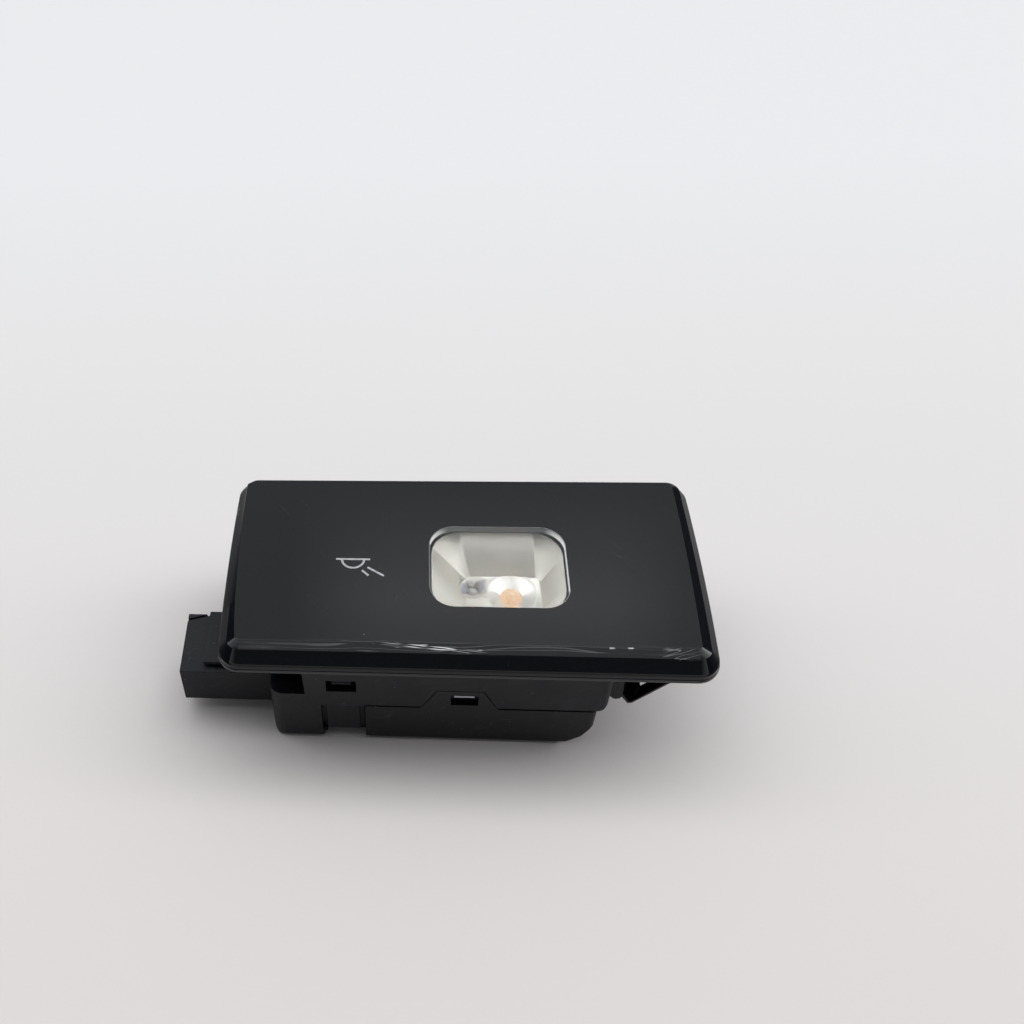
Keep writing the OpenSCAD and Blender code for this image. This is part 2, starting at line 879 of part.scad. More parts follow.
module clip_ear(y) {
    translate([0, y + ear_t / 2, 0])
        rotate([90, 0, 0])
            linear_extrude(ear_t) {
                polygon([[housing_right - wall / 2, rim_z - 1.5], [housing_right + ear_reach, rim_z - 1.5],
                    [bar_x + bar_r + ear_rim, bar_z], [bar_x, bar_z - bar_r - ear_rim],
                    [housing_right - wall / 2, bar_z + bar_r]]);
                translate([bar_x, bar_z])
                    circle(bar_r + ear_rim);
            }
}

module clip_mount(y) {
    span = clip_w + 2 * ear_gap;
    for (s = [-1, 1])
        clip_ear(y + s * (span + ear_t) / 2);
    translate([bar_x, y + span / 2 + eps, bar_z])
        rotate([90, 0, 0])
            cylinder(r = bar_r, h = span + 2 * eps);
}

// A boss for each screw, joined to the wall by a rib under the board and a post beside it
module board_bosses() {
    rib_z = board_under - boss_rib[1];
    rib_end = inner_back - fit_gap;
    for (s = screw_spots) {
        translate([s.x, s.y, boss_foot])
            cylinder(r = boss_r, h = board_under - boss_foot);
        translate([s.x - boss_rib[0] / 2, 0, 0])
            mirror([0, s.y < 0 ? 1 : 0, 0]) {
                block([0, boss_y, rib_z], [boss_rib[0], rib_end, board_under]);
                block([0, board_back + board_clear, rib_z], [boss_rib[0], rib_end, board_top]);
                block([0, rib_end - eps, max(seam_z, rib_z)], [boss_rib[0], inner_back + eps, board_top]);
            }
    }
}

// The opening in the left front corner, whose inner edge leans outwards as it goes down
module corner_opening(grow) {
    low = rim_z - corner_open_h - grow;
    high = rim_z + (grow > 0 ? 0 : 1);
    right = housing_left + corner_open_w + grow;
    translate([0, housing_front + corner_open_d + grow, 0])
        rotate([90, 0, 0])
            linear_extrude(corner_open_d + grow + 1)
                polygon([[housing_left - 1, low], [right + corner_open_lean, low], [right, high],
                    [housing_left - 1, high]]);
}

module housing_frame() {
    leg_w = latch_window.x;
    color("#2c2e32")
        difference() {
            union() {
                difference() {
                    frame_block();
                    frame_hollow();
                }
                intersection() {
                    corner_opening(wall * 0.7);
                    linear_extrude(rim_z)
                        housing_outline(0);
                }
                both_faces()
                    block([tab_x - tab_w[0] / 2 - 1.5, housing_front + tab_t + fit_gap, seam_z],
                        [tab_x + tab_w[0] / 2 + 1.5, housing_front + wall + 1, seam_z + tab_h + 1.5]);
                recess_wall();
                board_bosses();
                for (y = [-clip_y, clip_y])
                    clip_mount(y);
                locating_tongues();
            }
            corner_opening(0);
            for (l = cover_latches)
                translate([l.x, 0, 0])
                    rotate(l.y)
                        block([-leg_w / 2, housing_front - 1, rim_z - latch_drop - latch_window.y],
                            [leg_w / 2, housing_front + wall + eps, rim_z - latch_drop]);
            both_faces()
                difference() {
                    front_cut(tab_t + fit_gap)
                        tab_shape(fit_gap);
                    tab_tooth();
                }
            foot_cuts();
            block([housing_left - 1, socket_front - fit_gap, socket_z - fit_gap],
                [inner_left + eps, socket_front + socket_d + fit_gap, socket_z + socket_h + fit_gap]);
            for (s = screw_spots)
                translate([s.x, s.y, board_under - screw_l])
                    cylinder(r = screw_r, h = screw_l + 1);
        }
}

// The wall behind the recess under the panel, on both long faces
module recess_wall() {
    for (turn = [0, 1])
        mirror([0, turn, 0])
            block([foot_right - wall, housing_front + wall - eps, eps],
                [shell_left - eps, housing_front + recess_depth + wall, recess_z + wall]);
}

// The panel right of the foot stands back between two grooves, and ends above the back
module foot_cuts() {
    chamfer = 1.2;
    panel_back = 0.6;
    groove_back = 1.2;
    for (turn = [0, 1])
        mirror([0, turn, 0]) {
            block([foot_right, housing_front - 1, -1],
                [shell_left + 1, housing_front + recess_depth, recess_z]);
            block([foot_right, housing_front - 1, -1],
                [shell_left + 1, housing_front + panel_back, seam_z - 0.4]);
            for (x = [foot_right - groove_w, shell_left - groove_w])
                block([x, housing_front - 1, recess_z - eps],
                    [x + groove_w + eps, housing_front + groove_back, seam_z - 0.4]);
            translate([foot_right, housing_front + recess_depth, 0])
                rotate([90, 0, 0])
                    linear_extrude(recess_depth + 1)
                        polygon([[-chamfer, -eps], [eps, -eps], [eps, recess_z]]);
        }
}

// Two fixed tongues at the socket's end, which hook behind the roof panel first
module locating_tongues() {
    tongue = [3.6, 5, 3.6];
    panel_gap = 3.2;
    high = rim_z - panel_gap;
    for (y = [housing_front + corner_open_d, housing_back - 10.5])
        translate([0, y + tongue.y, 0])
            rotate([90, 0, 0])
                linear_extrude(tongue.y)
                    polygon([[housing_left + eps, high], [housing_left - tongue.x, high],
                        [housing_left - tongue.x, high - 1], [housing_left - 0.4, high - tongue.z],
                        [housing_left + eps, high - tongue.z]]);
}

// Back shell: a tray with a latch tab on each long face
module shell_profile(inset) {
    left = shell_left + fit_gap + inset;
    right = shell_right - inset;
    polygon([[left, inset + 1], [left + 0.8, inset], [right - shell_chamfer.x, inset],
        [right - shell_chamfer.x * 0.38, inset + shell_chamfer.y * 0.45],
        [right - 0.3, inset + shell_chamfer.y], [right, seam_z], [left, seam_z]]);
}

module back_shell() {
    floor_rib_h = 2.4;
    color("#1d1f23")
        difference() {
            union() {
                difference() {
                    intersection() {
                        across(housing_d)
                            shell_profile(0);
                        linear_extrude(seam_z)
                            ended_rect(shell_left + fit_gap - 1, shell_right, housing_d, [1, housing_r[1]]);
                        belly(shell_left, shell_right, seam_z);
                    }
                    across(housing_d - 2 * wall)
                        translate([0, eps])
                            shell_profile(wall);
                }
                for (x = [-10, 0, 10])
                    block([x - rib_t / 2, -inner_back - eps, wall - eps],
                        [x + rib_t / 2, inner_back + eps, wall + floor_rib_h]);
                both_faces()
                    front_tab();
            }
            both_faces()
                front_cut(tab_t + 1)
                    translate([tab_window_x - tab_window.x / 2, tab_window_z])
                        square([tab_window.x, tab_window.y]);
        }
}

module front_tab() {
    translate([0, housing_front + tab_t, 0])
        rotate([90, 0, 0])
            linear_extrude(tab_t)
                tab_shape(0);
}

// Plug socket
function pin_y(i) = socket_mid_y + (i - (pin_count - 1) / 2) * pin_pitch;

module connector_header() {
    plate_left = socket_left + 5;
    plate_h = 1.5;
    plate_front = socket_front + 1.5;
    slot_h = 0.6;
    collar = 1.2;
    color("#34373c")
        difference() {
            union() {
                block([socket_left, socket_front, socket_z],
                    [socket_right, socket_front + socket_d, socket_z + socket_h]);
                block([plate_left, plate_front, socket_z + socket_h - eps],
                    [housing_left - fit_gap, socket_front + socket_d - 0.4, socket_z + socket_h + plate_h]);
                block([inner_left + fit_gap, socket_front - collar, socket_z - 1],
                    [inner_left + 1.4, socket_front + socket_d + collar, socket_z + socket_h + 1]);
            }
            block([socket_left - 1, socket_front + socket_wall, socket_z + socket_wall],
                [socket_left + socket_cavity, socket_front + socket_d - socket_wall,
                    socket_z + socket_h - socket_wall]);
            block([plate_left - 1, plate_front - 1, socket_z + socket_h],
                [housing_left - 2, plate_front + 2.5, socket_z + socket_h + slot_h]);
            for (i = [0:pin_count - 1])
                translate([socket_left, pin_y(i) - pin_w / 2, socket_mid_z - pin_w / 2])
                    cube([socket_right - socket_left + 1, pin_w, pin_w]);
            key_grooves();
        }
}

module key_grooves() {
    translate([socket_left - 1, socket_front + socket_d - 2.2, socket_z + socket_h - 0.5])
        rotate(18)
            cube([6, 0.5, 1]);
    for (y = [socket_front + 4, socket_front + socket_d - 5.2])
        block([socket_left - 1, y, socket_z + socket_wall - 0.9],
            [socket_left + socket_cavity, y + 1.2, socket_z + socket_wall + eps]);
}

module contact_pins() {
    tip_x = socket_left + pin_recess;
    color("#b9b4a4")
        for (i = [0:pin_count - 1]) {
            block([tip_x, pin_y(i) - pin_w / 2, socket_mid_z - pin_w / 2],
                [pin_tail_x + pin_w / 2, pin_y(i) + pin_w / 2, socket_mid_z + pin_w / 2]);
            block([pin_tail_x - pin_w / 2, pin_y(i) - pin_w / 2, socket_mid_z],
                [pin_tail_x + pin_w / 2, pin_y(i) + pin_w / 2, board_top + 1]);
        }
}

// Retaining clips: a bent leaf that curls round the housing's bar
function unit(v) = v / norm(v);
function left_of(v) = [-v.y, v.x];
function joint_normal(a, b, c) = let (n = unit(left_of(unit(b - a)) + left_of(unit(c - b))))
    n / (n * left_of(unit(b - a)));
function path_normals(p) = [for (i = [0:len(p) - 1])
    i == 0 ? left_of(unit(p[1] - p[0])) :
    i == len(p) - 1 ? left_of(unit(p[i] - p[i - 1])) :
    joint_normal(p[i - 1], p[i], p[i + 1])];
function ribbon(p, t) = let (n = path_normals(p), last = len(p) - 1)
    concat([for (i = [0:last]) p[i] + n[i] * t / 2], [for (i = [last:-1:0]) p[i] - n[i] * t / 2]);

module clip_leaf(y) {
    root = [0, -curl_r - leaf_t / 2];
    path = concat([root], leaf_path);
    color("#232427")
        translate([bar_x, y, bar_z])
            difference() {
                translate([0, clip_w / 2, 0])
                    rotate([90, 0, 0]) {
                        linear_extrude(clip_w)
                            difference() {
                                circle(curl_r + leaf_t);
                                circle(curl_r);
                                polygon([[0, 0], [6, 1], [6, -4], [0.6, -4]]);
                            }
                        linear_extrude(clip_w)
                            polygon(ribbon(path, leaf_t));
                    }
                translate([5.4, -lance.y / 2, -6])
                    cube([lance.x, lance.y, 12]);
            }
}

module retaining_clip_front() {
    clip_leaf(-clip_y);
}

module retaining_clip_rear() {
    clip_leaf(clip_y);
}

front_cover();
window_lens();
symbol_inlay();
symbol_diffuser();
touch_electrode();
touch_spring();
light_shaft();
reflector();
circuit_board();
main_led();
side_led();
symbol_led();
driver_chip();
power_transistor();
ceramic_capacitors();
chip_resistors();
storage_coil();
board_screws();
housing_frame();
back_shell();
connector_header();
contact_pins();
retaining_clip_front();
retaining_clip_rear();
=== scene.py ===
"""Dresses the car dome light: gloss cover, clear window, metallised bowl, grained housing, pale floor."""

import math

import bmesh
import bpy
from mathutils import Euler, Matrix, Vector


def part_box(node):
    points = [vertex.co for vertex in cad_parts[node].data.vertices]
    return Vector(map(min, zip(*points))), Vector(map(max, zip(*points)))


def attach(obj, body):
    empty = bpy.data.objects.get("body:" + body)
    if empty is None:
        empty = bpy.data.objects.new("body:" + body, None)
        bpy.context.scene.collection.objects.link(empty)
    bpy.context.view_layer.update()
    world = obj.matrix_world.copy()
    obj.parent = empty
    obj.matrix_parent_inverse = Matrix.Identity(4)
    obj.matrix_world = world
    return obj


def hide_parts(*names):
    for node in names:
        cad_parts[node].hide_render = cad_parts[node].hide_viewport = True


bl_info = {
    "name": "Car Dome Light Dresser",
    "version": (1, 0, 0),
    "blender": (4, 5, 0),
    "location": "View3D > Sidebar > Dome Light",
    "description": "Builds the finished surfaces of a car dome light round its packed frame",
    "category": "Object",
}

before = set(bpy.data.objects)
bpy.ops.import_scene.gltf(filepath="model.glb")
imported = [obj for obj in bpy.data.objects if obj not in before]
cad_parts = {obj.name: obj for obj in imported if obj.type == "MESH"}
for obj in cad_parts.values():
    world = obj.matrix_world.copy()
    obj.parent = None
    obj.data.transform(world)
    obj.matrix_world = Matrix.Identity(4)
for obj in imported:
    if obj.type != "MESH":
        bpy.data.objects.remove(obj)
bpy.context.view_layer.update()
MM = 0.001
BODY = "lamp"
COVER_LOW, COVER_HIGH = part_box("front_cover")
LENS_LOW, LENS_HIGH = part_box("window_lens")

# Clearance between pieces that are drawn side by side, and how far a cutter passes what it cuts
FIT = 0.02 * MM
PAST = 1.0 * MM
# Slack within which a point counts as lying on a plane
SLACK = 0.01 * MM
# How near points of a copied mesh are merged, and how flat its faces are joined
MERGE = 0.004 * MM
FLAT_ANGLE = math.radians(0.6)
# Rounding of the small pieces
RIB_ROUNDING = 0.12 * MM
LEG_ROUNDING = 0.08 * MM
WINDOW_ROUNDING = 0.2 * MM
SOCKET_ROUNDING = 0.14 * MM
CLIP_ROUNDING = 0.08 * MM
# The cover's ribs: their places, length and thickness, and how much they thin towards the free edge
RIB_X = (-44.0 * MM, -41.0 * MM, 43.4 * MM)
RIB_Y = (-12.5 * MM, 11.5 * MM)
RIB_LENGTH = 2.2 * MM
RIB_THICKNESS = 1.0 * MM
RIB_DRAFT = 0.85
# How far the ribs and the window's rim reach up into the cover's skin
RIB_SINK = 0.5 * MM
RIM_SINK = 0.3 * MM
# How far under the rim the copied legs start
LEG_GAP = 0.2 * MM
# How much further in the flat of the cover's inside starts than that of its outside
INNER_INSET = 0.3 * MM
# Each tooth in the latch windows, painted pale as a highlight and as rubbed wear: their height, half size,
# paleness and places along the lamp
LEG_TOOTH_Z = 20.0 * MM
LEG_TOOTH_HALF = Vector((2.4, 1.0, 0.5)) * MM
LEG_TOOTH_HIGHLIGHT_GREY = 0.3
FRONT_LEG_X = (-23.8 * MM,)
BACK_LEG_X = (23.8 * MM, 17.0 * MM)
TAB_TOOTH_X = 0.75 * MM
TAB_TOOTH_Z = 16.35 * MM
TAB_TOOTH_HALF = Vector((2.2, 0.5, 0.27)) * MM
TAB_TOOTH_HIGHLIGHT_GREY = 0.5
# The tray's and the socket's black against the housing's
TRAY_SHADE = 0.6
SOCKET_SHADE = 1.15


# Settings

class DomeCoverSettings(bpy.types.PropertyGroup):
    """Sizes of the gloss cover and its window."""

    corner: bpy.props.FloatProperty(
        name="Corner Radius", description="Corner radius at the rim", default=4.5 * MM, unit="LENGTH")
    bow: bpy.props.FloatProperty(
        name="Side Bow", description="Outward bow of the short sides", default=0.5 * MM, unit="LENGTH")
    height: bpy.props.FloatProperty(
        name="Height", description="From the rim to the flat top", default=5.5 * MM, unit="LENGTH")
    wall: bpy.props.FloatProperty(
        name="Wall", description="Thickness of the cover", default=2.2 * MM, unit="LENGTH")
    inset: bpy.props.FloatProperty(
        name="Top Inset", description="From the rim in to the flat top", default=4.05 * MM, unit="LENGTH")
    bevel_width: bpy.props.FloatProperty(
        name="Bevel Width", description="Width of the bevel round the top", default=1.9 * MM, unit="LENGTH")
    bevel_drop: bpy.props.FloatProperty(
        name="Bevel Drop", description="Drop of the bevel", default=0.77 * MM, unit="LENGTH")
    lip_height: bpy.props.FloatProperty(
        name="Lip Height", description="Height of the lip along the rim", default=0.6 * MM, unit="LENGTH")
    lip_out: bpy.props.FloatProperty(
        name="Lip Overhang", description="How far the lip stands out", default=0.2 * MM, unit="LENGTH")
    lip_fall: bpy.props.FloatProperty(
        name="Lip Fall", description="Fall of the lip's upper face", default=0.06 * MM, unit="LENGTH")
    upright: bpy.props.FloatProperty(
        name="Upright Band", description="Height of the band above the lip", default=1.4 * MM, unit="LENGTH")
    turn_radius: bpy.props.FloatProperty(
        name="Turn Radius", description="Between the upright band and the sloping side", default=1.5 * MM,
        unit="LENGTH")
    left_reach: bpy.props.FloatProperty(
        name="Left Reach", description="Reach of the flat top at its back left corner", default=1.7 * MM,
        unit="LENGTH")
    right_reach: bpy.props.FloatProperty(
        name="Right Reach", description="Reach of the flat top at its back right corner", default=0.35 * MM,
        unit="LENGTH")
    back_reach: bpy.props.FloatProperty(
        name="Back Reach", description="Reach of the flat top at its back edge", default=0.3 * MM,
        unit="LENGTH")
    rib_depth: bpy.props.FloatProperty(
        name="Rib Depth", description="How far the ribs hang under the skin", default=2.2 * MM, unit="LENGTH")
    edge_rounding: bpy.props.FloatProperty(
        name="Edge Rounding", description="Rounding of the cover's edges", default=0.1 * MM, unit="LENGTH")
    window_radius: bpy.props.FloatProperty(
        name="Window Radius", description="Corner radius of the window", default=5.2 * MM, unit="LENGTH")
    window_step: bpy.props.FloatProperty(
        name="Window Step", description="How far the clear plastic reaches under the skin", default=1.5 * MM,
        unit="LENGTH")
    step_height: bpy.props.FloatProperty(
        name="Step Height", description="Thickness of that step", default=1.0 * MM, unit="LENGTH")
    window_rim: bpy.props.FloatProperty(
        name="Window Rim", description="Width of the cover's rim round the window, under its skin",
        default=2.7 * MM, unit="LENGTH")


class DomeHousingSettings(bpy.types.PropertyGroup):
    """Sizes of the seam between the housing and the tray."""

    seam: bpy.props.FloatProperty(
        name="Seam", description="Height of the seam", default=12.7 * MM, unit="LENGTH")
    groove: bpy.props.FloatProperty(
        name="Groove", description="Height and depth of the shadow groove along the seam", default=0.42 * MM,
        unit="LENGTH")
    tab_middle: bpy.props.FloatProperty(
        name="Tab Middle", description="Where the tabs stand along the lamp", default=-0.2 * MM,
        unit="LENGTH")
    tab_foot: bpy.props.FloatProperty(
        name="Tab Foot", description="Width of a tab at the seam", default=14.8 * MM, unit="LENGTH")
    tab_margin: bpy.props.FloatProperty(
        name="Tab Margin", description="How far the groove stops short of a tab", default=0.3 * MM,
        unit="LENGTH")
    tray_corner: bpy.props.FloatProperty(
        name="Tray Corner", description="Corner radius of the tray", default=2.6 * MM, unit="LENGTH")
    rounding: bpy.props.FloatProperty(
        name="Rounding", description="Rounding of the moulded edges", default=0.1 * MM, unit="LENGTH")


class DomeFinishSettings(bpy.types.PropertyGroup):
    """Colours of the finishes."""

    gloss: bpy.props.FloatVectorProperty(
        name="Gloss Black", description="Colour of the cover", default=(0.0028, 0.0036, 0.0058),
        subtype="COLOR", size=3, min=0, max=1)
    grained: bpy.props.FloatVectorProperty(
        name="Grained Black", description="Colour of the housing", default=(0.0058, 0.007, 0.0102),
        subtype="COLOR", size=3, min=0, max=1)
    mirror: bpy.props.FloatVectorProperty(
        name="Mirror Coat", description="Colour of the metallised bowl", default=(0.87, 0.835, 0.755),
        subtype="COLOR", size=3, min=0, max=1)
    sign: bpy.props.FloatVectorProperty(
        name="Sign", description="Colour of the lamp sign", default=(0.46, 0.48, 0.5), subtype="COLOR",
        size=3, min=0, max=1)


class DomeStageSettings(bpy.types.PropertyGroup):
    """Camera and floor."""

    eye: bpy.props.FloatVectorProperty(
        name="Eye", description="Where the camera stands", default=(-11.06 * MM, -151.78 * MM, 212.08 * MM),
        subtype="TRANSLATION", unit="LENGTH", size=3)
    turn: bpy.props.FloatVectorProperty(
        name="Turn", description="The camera's rotation", default=(
            math.radians(42.448), math.radians(4.343), math.radians(4.657)), subtype="EULER", size=3)
    lens: bpy.props.FloatProperty(
        name="Lens", description="Focal length in millimetres on a 36 mm sensor", default=40.43)
    shift: bpy.props.FloatProperty(
        name="Shift", description="Sideways shift that places the object in the frame", default=0.2276)
    floor_size: bpy.props.FloatProperty(
        name="Floor Size", description="Side of the floor", default=3.0, unit="LENGTH")


# Modelling helpers

def deselect_all():
    if bpy.context.object and bpy.context.object.mode != "OBJECT":
        close_edit()
    bpy.ops.object.select_all(action="DESELECT")


def activate(obj):
    deselect_all()
    obj.select_set(True)
    bpy.context.view_layer.objects.active = obj


def edit(obj, kind="FACE"):
    """Opens the mesh in edit mode, with all of it selected."""
    activate(obj)
    bpy.ops.object.mode_set(mode="EDIT")
    bpy.ops.mesh.select_mode(type=kind)
    bpy.ops.mesh.select_all(action="SELECT")


def close_edit():
    bpy.ops.object.mode_set(mode="OBJECT")


def raise_faces(height):
    bpy.ops.mesh.extrude_region_move(TRANSFORM_OT_translate={"value": (0, 0, height)})


def pick(obj, test, kind="FACE"):
    """Selects the faces, edges or vertices for which the test holds, in edit mode."""
    bpy.ops.mesh.select_mode(type=kind)
    bpy.ops.mesh.select_all(action="DESELECT")
    work = bmesh.from_edit_mesh(obj.data)
    parts = {"FACE": work.faces, "EDGE": work.edges, "VERT": work.verts}[kind]
    for part in parts:
        if test(part):
            part.select_set(True)
    work.select_flush_mode()
    bmesh.update_edit_mesh(obj.data)


def place_in_mesh(obj):
    activate(obj)
    bpy.ops.object.transform_apply(location=True, rotation=True, scale=True)


def outwards(obj):
    edit(obj)
    bpy.ops.mesh.normals_make_consistent(inside=False)
    close_edit()


def modify(obj, kind, **values):
    """Adds a modifier and applies it."""
    activate(obj)
    modifier = obj.modifiers.new(kind.title(), kind)
    for name, value in values.items():
        setattr(modifier, name, value)
    bpy.ops.object.modifier_apply(modifier=modifier.name)


def soften(obj, width, segments=2, angle=32, smooth=38, clamp=True):
    """Rounds the edges and shades the piece smooth up to an angle."""
    modify(obj, "BEVEL", width=width, segments=segments, limit_method="ANGLE",
           angle_limit=math.radians(angle), use_clamp_overlap=clamp, miter_outer="MITER_ARC")
    shade(obj, smooth)


def soften_copy(obj, width):
    """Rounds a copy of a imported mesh, whose faces are split first so that none keeps a hole in it."""
    edit(obj)
    bpy.ops.mesh.quads_convert_to_tris(quad_method="BEAUTY", ngon_method="BEAUTY")
    close_edit()
    soften(obj, width, clamp=False)


def shade(obj, smooth=38):
    activate(obj)
    bpy.ops.object.shade_smooth_by_angle(angle=math.radians(smooth))
    modify(obj, "WEIGHTED_NORMAL", keep_sharp=True, weight=60)


def round_plate(name, middle, width, depth, radius, segments):
    """A flat face with round corners, left open in edit mode."""
    deselect_all()
    bpy.ops.mesh.primitive_plane_add(size=1, location=middle)
    plate = bpy.context.object
    plate.name = name
    plate.scale = (width, depth, 1)
    place_in_mesh(plate)
    edit(plate, "VERT")
    bpy.ops.mesh.bevel(offset=radius, offset_type="ABSOLUTE", segments=segments, affect="VERTICES")
    return plate


def rounded_slab(name, low, high, radius, segments=12):
    """A plate with upright sides and round corners, between two corners."""
    middle = (low + high) / 2
    middle.z = low.z
    slab = round_plate(name, middle, high.x - low.x, high.y - low.y, radius, segments)
    bpy.ops.mesh.select_mode(type="FACE")
    bpy.ops.mesh.select_all(action="SELECT")
    raise_faces(high.z - low.z)
    close_edit()
    outwards(slab)
    return slab


def cut(obj, cutter, operation="DIFFERENCE"):
    modify(obj, "BOOLEAN", operation=operation, object=cutter, solver="EXACT")
    bpy.data.objects.remove(cutter)


def copy_of(node, name):
    """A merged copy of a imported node's mesh, as a piece of its own."""
    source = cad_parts[node]
    piece = bpy.data.objects.new(name, source.data.copy())
    bpy.context.scene.collection.objects.link(piece)
    piece.data.materials.clear()
    edit(piece, "VERT")
    bpy.ops.mesh.remove_doubles(threshold=MERGE)
    bpy.ops.mesh.dissolve_limited(angle_limit=FLAT_ANGLE)
    close_edit()
    return piece


def finish_piece(piece, material, slot, *nodes, body=BODY):
    piece.data.materials.clear()
    piece.data.materials.append(material)
    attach(piece, body)
    if nodes:
        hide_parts(*nodes)


def finish_node(node, material):
    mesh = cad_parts[node].data
    mesh.materials.clear()
    mesh.materials.append(material)


# Shader helpers

def group(name, inputs, outputs=("Mask",)):
    """An empty node group with its sockets, and its input and output nodes."""
    tree = bpy.data.node_groups.new(name, "ShaderNodeTree")
    for socket, value in inputs.items():
        kind = "NodeSocketVector" if isinstance(value, tuple) else "NodeSocketFloat"
        tree.interface.new_socket(socket, in_out="INPUT", socket_type=kind).default_value = value
    for socket in outputs:
        tree.interface.new_socket(socket, in_out="OUTPUT", socket_type="NodeSocketFloat")
    return tree, tree.nodes.new("NodeGroupInput"), tree.nodes.new("NodeGroupOutput")


def put(tree, kind, links=None, **values):
    """Adds a node; values name its properties or inputs, and links name the sockets that feed its inputs."""
    made = tree.nodes.new(kind)
    for name, value in values.items():
        if hasattr(made, name):
            setattr(made, name, value)
        else:
            made.inputs[name.replace("_", " ")].default_value = value
    for name, source in (links or {}).items():
        tree.links.new(source, made.inputs[name])
    return made


def maths(tree, operation, first, second=0.5, clamp=False):
    made = tree.nodes.new("ShaderNodeMath")
    made.operation = operation
    made.use_clamp = clamp
    for socket, value in zip(made.inputs, (first, second)):
        if isinstance(value, (int, float)):
            socket.default_value = value
        else:
            tree.links.new(value, socket)
    return made.outputs[0]


def times(tree, first, second, clamp=False):
    return maths(tree, "MULTIPLY", first, second, clamp)


def vector_maths(tree, operation, *sources):
    made = put(tree, "ShaderNodeVectorMath", operation=operation)
    for socket, source in zip(made.inputs, sources):
        tree.links.new(source, socket)
    return made.outputs[0]


def axes(tree, vector):
    """The x, y and z of a vector."""
    return put(tree, "ShaderNodeSeparateXYZ", {"Vector": vector}).outputs


def remap(tree, value, low, high, new_low=0.0, new_high=1.0):
    made = put(tree, "ShaderNodeMapRange", {"Value": value})
    for name, number in (("From Min", low), ("From Max", high), ("To Min", new_low), ("To Max", new_high)):
        made.inputs[name].default_value = number
    return made.outputs["Result"]


def blend(tree, factor, first, second):
    """A colour mix."""
    made = tree.nodes.new("ShaderNodeMix")
    made.data_type = "RGBA"
    sockets = [made.inputs[0], made.inputs[6], made.inputs[7]]
    for socket, value in zip(sockets, (factor, first, second)):
        if isinstance(value, (int, float)):
            socket.default_value = value
        elif isinstance(value, (tuple, list)):
            socket.default_value = tuple(value)
        else:
            tree.links.new(value, socket)
    return made.outputs[2]


def rgba(colour, factor=1.0):
    return tuple(min(1.0, c * factor) for c in colour) + (1.0,)


def own_place(tree):
    return put(tree, "ShaderNodeTexCoord").outputs["Object"]


def facing(tree):
    """The x, y and z of the way that the surface faces."""
    return axes(tree, put(tree, "ShaderNodeNewGeometry").outputs["Normal"])


def clouds(tree, place, scale, detail):
    """A noise value with soft shapes."""
    return put(tree, "ShaderNodeTexNoise", {"Vector": place}, Scale=scale, Detail=detail).outputs["Fac"]


def mottle(tree, value, colour, dark, pale, low=0.3, high=0.7):
    """A colour that goes from a darker to a paler shade of itself with a noise value."""
    return blend(tree, remap(tree, value, low, high), rgba(colour, dark), rgba(colour, pale))


def paint(tree, shader, base, rough=None):
    """Feeds a colour, and a roughness where one is given, to the shader."""
    tree.links.new(base, shader.inputs["Base Color"])
    if rough is not None:
        tree.links.new(rough, shader.inputs["Roughness"])


def grain_group():
    """Fine moulded grain: a height and a value that varies over the surface."""
    tree, given, out = group("Moulded Grain", {"Scale": 2200.0}, ("Height", "Value"))
    place = own_place(tree)
    fine = put(tree, "ShaderNodeTexVoronoi", {"Vector": place, "Scale": given.outputs["Scale"]},
               feature="SMOOTH_F1")
    soft = put(tree, "ShaderNodeTexNoise", {"Vector": place, "Scale": given.outputs["Scale"]}, Detail=3.0)
    broad = clouds(tree, place, 120.0, 4.0)
    height = maths(tree, "ADD", fine.outputs["Distance"], soft.outputs["Fac"])
    tree.links.new(height, out.inputs["Height"])
    tree.links.new(broad, out.inputs["Value"])
    return tree


def patch_group():
    """A mask that is 1 inside a box on the object and fades out at its edges."""
    tree, given, out = group("Patch", {"Centre": (0, 0, 0), "Half Size": (1, 1, 1), "Fade": 0.4})
    away = vector_maths(tree, "SUBTRACT", own_place(tree), given.outputs["Centre"])
    share = vector_maths(tree, "DIVIDE", away, given.outputs["Half Size"])
    x, y, z = axes(tree, vector_maths(tree, "ABSOLUTE", share))
    most = maths(tree, "MAXIMUM", maths(tree, "MAXIMUM", x, y), z)
    fall = maths(tree, "SUBTRACT", 1.0, most)
    mask = maths(tree, "DIVIDE", fall, given.outputs["Fade"], clamp=True)
    tree.links.new(mask, out.inputs["Mask"])
    return tree


def scratch_group():
    """Hairline scratches along a direction, as a mask."""
    tree, given, out = group(
        "Hairlines", {"Stretch": (60, 900, 900), "Turn": (0, 0, 0), "Thinness": 0.03})
    place = own_place(tree)
    turned = put(tree, "ShaderNodeMapping", {"Vector": place, "Rotation": given.outputs["Turn"]})
    bent = put(tree, "ShaderNodeTexNoise", {"Vector": turned.outputs[0]}, Scale=60.0, Detail=1.0)
    sway = put(tree, "ShaderNodeVectorMath", operation="MULTIPLY_ADD")
    sway.inputs[1].default_value = (1.2 * MM,) * 3
    tree.links.new(bent.outputs["Color"], sway.inputs[0])
    tree.links.new(turned.outputs[0], sway.inputs[2])
    long = vector_maths(tree, "MULTIPLY", sway.outputs[0], given.outputs["Stretch"])
    near = maths(tree, "ABSOLUTE", maths(tree, "SUBTRACT", clouds(tree, long, 1.0, 0.0), 0.5))
    line = maths(tree, "SUBTRACT", 1.0, maths(tree, "DIVIDE", near, given.outputs["Thinness"]), clamp=True)
    tree.links.new(line, out.inputs["Mask"])
    return tree


